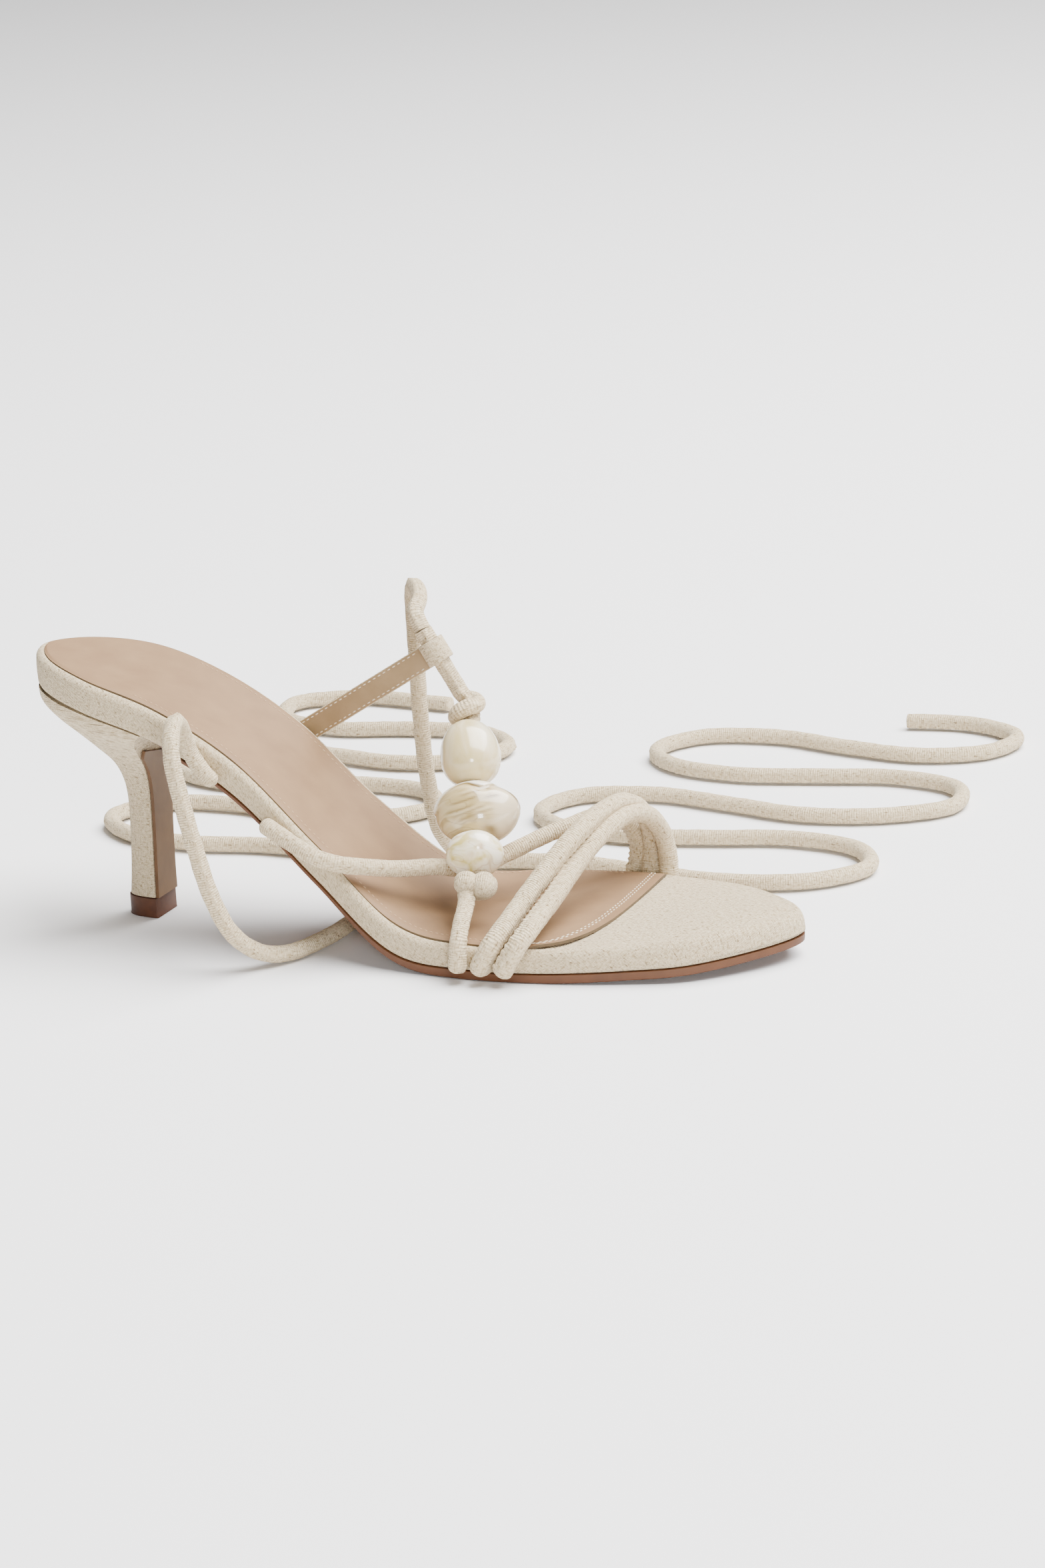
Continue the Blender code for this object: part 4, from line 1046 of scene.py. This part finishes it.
INSTEP_STRAP = (
    (85, -31.1, 40), (90.2, -32.2, 37.7), (96.2, -33.4, 34.9), (103.2, -34.2, 31.8), (109, -32.2, 29.8),
    (115, -27.4, 27.9), (121.4, -20.6, 25.8), (130, -12, 24.4), (138.6, -3.2, 22), (145, 5, 24.2),
    (151.4, 12.4, 26.8), (158.2, 20.6, 29), (164.6, 31, 29.8), (168.8, 38, 26.6), (171.3, 41.4, 20.6),
    (171.1, 41.8, 14), (169.6, 41, 8.4), (169.3, 40.6, 3),
)
# route, side of the sewn seam at its start, and radius
STRAPS = (
    (REAR_TOE_STRAP, (1.0, 0.3, 0.0), TOE_STRAP_RADIUS),
    (FRONT_TOE_STRAP, (-1.0, -0.5, 0.3), TOE_STRAP_RADIUS),
    (INSTEP_STRAP, (0.2, 0.2, -1.0), CORD_RADIUS),
)
cords = [cord_skin("strap", route, seam_side, foot=0.06, thick=radius) for route, seam_side, radius in STRAPS]
dress(join(cords, "upper_strap_cords"), "upper_straps", "linen", CORD_LINEN)

# %% [markdown]
# ## Bead cord and its knots
#
# One more cord starts beside the toe straps. It is knotted, threaded through the three beads, knotted
# again and led through the loop. The upper knot is the cord itself going round and through its own
# loop, so the route of the cord is simply led through it. The lower knot is pulled so tight that only its
# rounded turns show, and these are three creased lobes on the cord.

# %% Bead cord
BEAD_CORD_FOOT = ((148.6, -41.0, 3.0), (148.9, -41.0, 7.4), (149.0, -40.0, 11.9), (147.8, -34.6, 15.8),
                  (146.2, -27.0, 19.4))
THREADED = {
    "lower_knot": (146.8, -20.3, 22.8),
    "small_bead": (142.9, -12.1, 29.1),
    "swirl_bead": (138.4, 1.1, 37.2),
    "oval_bead": (131.7, 13.2, 51.6),
    "upper_knot": (126.4, 23.4, 62.8),
}
VIEW_RIGHT = (0.906, 0.423, 0.0)
# each knot seen from the lateral side: to the right, away, and along the cord
LOWER_KNOT_ROUTE = ((-2.9, -0.6, -1.4), (-1.4, 1.6, 0.9), (0.0, 2.6, 4.4))
UPPER_KNOT_ROUTE = (
    (0, 0.2, -5.6), (1, 2.2, -3.4), (-1.6, 2.3, -3), (-3.5, 0.3, -2.5), (-2.6, -2.2, -1.9),
    (0, -3.1, -1.5), (2.7, -2, -1.3), (3.7, 0.1, -0.3), (2.9, 1.1, 1.4), (1.3, 0.7, 2.1),
    (0.1, 0.3, 4.2), (-0.4, 0.2, 6.6),
)
# lobes of the lower knot: place, then half sizes, and the lean of the crease on it
KNOT_LOBES = (
    ((-2.8, -2.0, -1.5), (3.7, 3.5, 3.6), 0.1),
    ((2.2, -1.7, -1.7), (4.0, 3.7, 4.4), 0.8),
    ((0.2, 1.2, -1.2), (3.6, 3.2, 2.8), 0.4),
)
KNOT_CREASE_MM = 0.45


def thread_direction(name):
    """Direction of the cord through one threaded piece."""
    stops = np.array([BEAD_CORD_FOOT[-1], *THREADED.values(), LOOP_CENTRE])
    at = list(THREADED).index(name)
    return units(stops[at + 2] - stops[at])


def thread_axes(name):
    """To the right, away from the viewer and along the cord, at one threaded piece."""
    up = thread_direction(name)
    right = units(np.array(VIEW_RIGHT) - up * (np.array(VIEW_RIGHT) @ up))
    return np.array((right, np.cross(up, right), up))


def on_thread(name, places):
    """Places given to the right, away and along the cord at one threaded piece, on the shoe."""
    return np.array(THREADED[name]) + np.asarray(places) @ thread_axes(name)


def knot_lobe(place, size, lean):
    """One rounded turn of the lower knot, creased where two strands lie side by side."""
    lobe = unit_sphere(48, 28)
    unit = corner_places(lobe.data)
    across = unit[:, 2] * math.cos(lean) - unit[:, 0] * math.sin(lean)
    crease = 1 - KNOT_CREASE_MM / size[0] * bell(across, 0.0, 0.13)
    placed = on_thread("lower_knot", unit * np.array(size) * crease[:, None] + np.array(place))
    lobe.data.vertices.foreach_set("co", to_frame(placed).ravel())
    layer = lobe.data.uv_layers.active.data
    cloth = np.zeros(len(layer) * 2)
    layer.foreach_get("uv", cloth)
    layer.foreach_set("uv", (cloth.reshape(-1, 2) * (2 * math.pi * size[0], math.pi * size[2])).ravel())
    lobe.data.update()
    bpy.ops.object.shade_smooth()
    return lobe


def make_bead_cord():
    route = [*BEAD_CORD_FOOT, *on_thread("lower_knot", LOWER_KNOT_ROUTE)]
    route += [THREADED[name] for name in ("small_bead", "swirl_bead", "oval_bead")]
    route += [*on_thread("upper_knot", UPPER_KNOT_ROUTE)]
    route += [LOOP_CENTRE + THROUGH_LOOP * reach for reach in (-4.0, 4.0, PAST_LOOP + GAP)]
    cord = cord_skin("bead_cord_linen", route, (1.0, -0.2, 0.0), end_round=HIDDEN_END, foot=0.12)
    lobes = [knot_lobe(*lobe) for lobe in KNOT_LOBES]
    dress(join([cord] + lobes, "bead_cord_linen"), "bead_cord", "linen", CORD_LINEN)


make_bead_cord()

# %% [markdown]
# ## Beads
#
# The beads are cast resin, polished. The top one is a plain oval. The middle one looks like a folded
# shell: a pale lip runs over its top and stands a little proud of the body. The lowest is small and
# round. Each starts as a sphere primitive and is pushed into shape along the direction of its cord.

# %% Beads
BEAD_SIZES = {"small_bead": (5.8, 8.2, 8.2), "swirl_bead": (9.5, 12.6, 9.6), "oval_bead": (10.2, 8.7, 8.7)}


def bead_body(name, shape):
    """A sphere primitive shaped by a function of its own directions, set on the cord."""
    half_length, half_width, half_depth = BEAD_SIZES[name]
    bead = unit_sphere(128, 80)
    bead.name = name + "_resin"
    unit = corner_places(bead.data)
    shaped, marks = shape(unit)
    placed = on_thread(name, shaped * np.array((half_width, half_depth, half_length)))
    bead.data.vertices.foreach_set("co", to_frame(placed).ravel())
    bead.data.attributes.new("bead_place", "FLOAT_VECTOR", "POINT").data.foreach_set("vector", unit.ravel())
    for mark in ("lip_and_painted_light", "dark_marks_and_painted_shade", "olive", "blush"):
        share = np.clip(marks.get(mark, np.zeros(len(unit))), 0.0, 1.0)
        bead.data.attributes.new("bead_" + mark, "FLOAT", "POINT").data.foreach_set("value", share)
    bead.data.update()
    bpy.ops.object.shade_smooth()
    return bead


def barrel(unit, girth, end_power, side_power):
    """A rounded barrel: end_power sets how blunt the ends are, side_power how straight the sides are."""
    height = np.sign(unit[:, 2]) * np.abs(unit[:, 2]) ** end_power
    radius = np.clip(1 - np.abs(height) ** side_power, 0.0, 1.0) ** (1 / side_power)
    outward = unit[:, :2] / np.maximum(np.hypot(unit[:, 0], unit[:, 1]), 1e-6)[:, None]
    return np.column_stack([outward * (radius * girth)[:, None], height])


def lateral_half(unit):
    return unit[:, 1] < 0.2


def spot(unit, right, up, wide, high):
    """A soft spot on the lateral side of a bead."""
    return bell(unit[:, 0], right, wide) * bell(unit[:, 2], up, high) * lateral_half(unit)


def oval_shape(unit):
    turn = np.arctan2(unit[:, 1], unit[:, 0])
    girth = 1 + 0.012 * np.cos(3 * turn + 0.8) - 0.13 * unit[:, 2]
    # the pale spot on the right is painted light: that side of the bead is made lighter as if lit from there
    marks = {"olive": 0.5 * spot(unit, -0.35, -0.75, 0.5, 0.3) + 0.35 * spot(unit, -0.8, 0.2, 0.2, 0.5),
             "lip_and_painted_light": 0.5 * spot(unit, 0.62, 0.3, 0.25, 0.7), "dark_marks_and_painted_shade": 0.35 * spot(unit, 0.25, -0.8, 0.08, 0.1)}
    return barrel(unit, girth, 0.9, 2.25), marks


def small_shape(unit):
    turn = np.arctan2(unit[:, 1], unit[:, 0])
    girth = 1 + 0.02 * np.cos(2 * turn + 0.4) + 0.012 * np.cos(5 * turn)
    # the pale middle is partly the bead's own cream and partly painted light against the swirl bead's shade
    marks = {"lip_and_painted_light": 0.8 * spot(unit, 0.2, 0.1, 0.38, 0.45), "olive": 0.6 * spot(unit, -0.3, 0.75, 0.4, 0.2),
             "dark_marks_and_painted_shade": 0.6 * spot(unit, 0.25, -0.5, 0.10, 0.13) + 0.5 * spot(unit, -0.58, 0.15, 0.16, 0.07)
             + 0.4 * spot(unit, -0.12, -0.75, 0.2, 0.1)}
    return barrel(unit, girth, 0.9, 2.1), marks


# lower edge of the pale lip on the swirl bead: degrees round the cord, and height on the bead
LIP_EDGE = (
    (-180, 0.0), (-162, 0.03), (-153, 0.28), (-136, 0.52), (-119, 0.68), (-104, 0.64), (-93, 0.50),
    (-81, 0.40), (-69, 0.50), (-56, 0.66), (-20, 0.72), (40, 0.55), (110, 0.35), (160, 0.10), (180, 0.0),
)
# thin lines on the swirl bead: height in the middle, first and last place to the right, strength
SWIRL_LINES = (
    (0.20, -0.5, 0.25, 0.5), (0.02, -0.75, 0.1, 0.6), (-0.10, 0.1, 0.62, 0.9), (-0.20, -0.85, 0.0, 0.5),
    (-0.34, -0.7, 0.3, 0.5), (-0.48, -0.6, 0.5, 0.4),
)


def swirl_shape(unit):
    """A pale lip over the top left, a bulge to the right and a hollow under the lip."""
    right = unit[:, 0]
    up = unit[:, 2]
    turn = np.arctan2(unit[:, 1], right)
    over = up - smooth([row[0] for row in LIP_EDGE], [row[1] for row in LIP_EDGE], np.degrees(turn))
    lip_and_painted_light = fade(over, -0.03, 0.03)
    bulge = bell(turn, -0.45, 0.55) * bell(up, 0.05, 0.42)
    hollow = bell(over, -0.13, 0.10) * bell(turn, -1.35, 0.5)
    shoulder = bell(turn, -0.5, 0.7) * fade(up, 0.25, 0.75)
    girth = 0.955 + 0.045 * lip_and_painted_light + 0.075 * bulge - 0.06 * hollow - 0.10 * shoulder
    wave = up - 0.16 * np.sin(2.6 * right - 0.3)
    lines = []
    for height, first, last, strength in SWIRL_LINES:
        reach = fade(right, first, first + 0.25) * (1 - fade(right, last - 0.2, last))
        lines.append(1.3 * strength * reach * bell(wave, height, 0.034) * lateral_half(unit))
    # painted shade: a dark band just under the lip, where the lip overhangs the body
    painted_shade_under_lip = bell(over, -0.06, 0.06) * bell(turn, -1.75, 0.55)
    ridge = 0.95 * bell(up + 1.4 * (right - 0.58), 0.55, 0.07) * fade(right, 0.5, 0.62) * lateral_half(unit)
    spots = [0.8 * spot(unit, 0.29, 0.30, 0.06, 0.06), 0.9 * spot(unit, 0.28, -0.86, 0.2, 0.1)]
    marks = {"lip_and_painted_light": lip_and_painted_light, "dark_marks_and_painted_shade": np.maximum.reduce([painted_shade_under_lip, ridge] + lines + spots),
             "blush": 0.75 * fade(right, 0.2, 0.6) * (up < 0.6),
             "olive": 0.5 * spot(unit, -0.55, -0.1, 0.4, 0.45)}
    return barrel(unit, girth, 0.92, 2.05), marks


# pale, body, olive and line colour, drawn-out scale, lean and strength of the lines
BEAD_LOOKS = {
    "oval_bead": ("#DED0AC", "#D1C096", "#CAB783", "#A88C50", (1.5, 1.5, 0.38), (0.0, 0.12, 0.3), 0.10),
    "swirl_bead": ("#DACBA6", "#C5B084", "#A79262", "#6B5226", (0.75, 0.75, 2.0), (0.2, -0.55, 0.4), 0.35),
    "small_bead": ("#F7F0E2", "#F0E6CA", "#C9B76E", "#A9793A", (0.9, 0.9, 1.4), (0.5, 0.5, 1.2), 0.35),
}

for name, shape in (("oval_bead", oval_shape), ("swirl_bead", swirl_shape), ("small_bead", small_shape)):
    bead_resin = resin_finish(name.replace("_", " ") + " polished resin", *BEAD_LOOKS[name])
    dress(bead_body(name, shape), name, "swirled_resin", bead_resin)

# %% [markdown]
# ## Loop tab
#
# A flat tape of linen with a tan lining is sewn to the medial side. It runs up to the bead cord, goes
# round it and is sewn back on itself. The lining faces the foot, with a row of stitches along each edge.

# %% Loop tab
TAB_WIDTH = 7.0
TAPE_MM = 1.3
TAB_ON_WALL = 8.0
TAPE_SOFT = 0.45
LOOP_TAPE_MM = 21.0
TAB_ROW = 2.6


def tab_line():
    """Middle line of the tape, as distance along the tab from the loop and offset to the medial side."""
    reach = np.linalg.norm((LOOP_CENTRE - TAB_FOOT) * (1.0, 0.0, 1.0))
    wall = float(edge(MEDIAL, np.array([TAB_FOOT[0]]))[0][0, 1]) + GAP + TAPE_MM / 2 - LOOP_CENTRE[1]
    ring = CORD_RADIUS + GAP + TAPE_MM / 2
    tail = [(-reach - TAB_ON_WALL, wall + 1.25), (-reach, wall + 0.65), (-reach * 0.94, wall + 0.45),
            (-reach * 0.7, 0.6 * wall), (-reach * 0.35, 0.15 * wall + 0.5), (-9.0, 1.1), (-5.4, 2.2)]
    loop = [(ring * math.cos(a), ring * math.sin(a)) for a in np.radians(np.linspace(125, -165, 11))]
    return smooth_route(tail + loop, False, 10)


def on_tab(flat, across):
    """Places on the tab, from distance and offset as in its middle line, and place across its width."""
    run, width = tab_directions()
    return LOOP_CENTRE + flat[..., :1] * run + flat[..., 1:2] * np.cross(width, run) + across * width


def make_tab():
    line = along(tab_line(), np.arange(0.0, run_of(tab_line())[-1], 0.6))
    ahead = units(np.gradient(line, axis=0))
    normal = np.stack([-ahead[:, 1], ahead[:, 0]], axis=1)
    section = []
    for corner_across, corner_up, start in ((1, 1, 0), (-1, 1, 90), (-1, -1, 180), (1, -1, 270)):
        for a in np.radians(np.linspace(start, start + 90, 4)):
            section.append((corner_across * (TAB_WIDTH / 2 - TAPE_SOFT) + TAPE_SOFT * math.cos(a),
                            corner_up * (TAPE_MM / 2 - TAPE_SOFT) + TAPE_SOFT * math.sin(a)))
    section = np.array(section + section[:1])
    flat = line[:, None, :] + normal[:, None, :] * section[None, :, 1:2]
    run = run_of(line)
    distance = np.concatenate([run[:1], run, run[-1:]])
    around = run_of(section)
    weave = np.stack(np.broadcast_arrays(distance[:, None], around[None, :]), axis=2)
    tab = lofted_sheet("loop_tab_tape", capped(on_tab(flat, section[None, :, :1])), weave)
    dress(tab, "loop_tab", "linen", HEEL_LINEN, LINING_SHEET)
    second_finish(tab, lambda normal, heights: around[10] < sum(heights) / len(heights) < around[13])
    bpy.ops.object.shade_smooth_by_angle(angle=math.radians(60))
    tail_end = int(np.argmin(np.abs(run - (run[-1] - LOOP_TAPE_MM))))
    return line[:tail_end], normal[:tail_end]


tape_line, tape_normal = make_tab()


def tab_stitch_row(offset):
    """A stitch row on the lining, near one edge of the tape."""
    return on_tab(tape_line - tape_normal * (TAPE_MM / 2 + 0.02), offset)


sew("tab_stitches", [tab_stitch_row(TAB_ROW), tab_stitch_row(-TAB_ROW)], (0.0, -1.0, 0.0), "linen", THREAD)

# %% [markdown]
# ## Floor and light
#
# A pale floor and a large soft light, high up behind the shoe on the toe's side, give the even look of a
# product picture with a soft shadow. One small light near the camera puts the glints on the beads.

# %% Stage
FLOOR_COLOUR = "#EDECEC"
SKY_STRENGTH = 0.35
# place, the place it points at, width, height and watts
SOFTBOX = ((0.75, 0.5, 1.85), (0.0, 0.0, 0.0), 2.2, 1.9, 240.0)
FRONT_STRIP = ((0.80, -1.28, 0.33), (0.0, 0.0, 0.05), 0.25, 0.38, 15.0)


def soft_light(name, place, target, width, height, power):
    bpy.ops.object.light_add(type="AREA", location=place)
    light = bpy.context.active_object
    light.name = name
    light.rotation_euler = (Vector(target) - Vector(place)).to_track_quat("-Z", "Y").to_euler()
    light.data.shape = "RECTANGLE"
    light.data.size = width
    light.data.size_y = height
    light.data.energy = power


def make_stage():
    bpy.ops.mesh.primitive_plane_add(size=30.0, location=(0.0, 0.0, -0.0001))
    floor = bpy.context.active_object
    floor.name = "studio_floor"
    paint, tree, shader = new_finish("Matt pale floor paint")
    set_inputs(tree, shader, {"Base Color": linear(FLOOR_COLOUR), "Roughness": 0.95,
                              "Specular IOR Level": 0.1})
    floor.data.materials.append(paint)
    world = bpy.data.worlds.new("studio")
    bpy.context.scene.world = world
    world.use_nodes = True
    sky = world.node_tree.nodes["Background"]
    set_inputs(world.node_tree, sky, {"Color": linear("#FFFFFF"), "Strength": SKY_STRENGTH})
    soft_light("overhead softbox", *SOFTBOX)
    soft_light("front strip", *FRONT_STRIP)


make_stage()
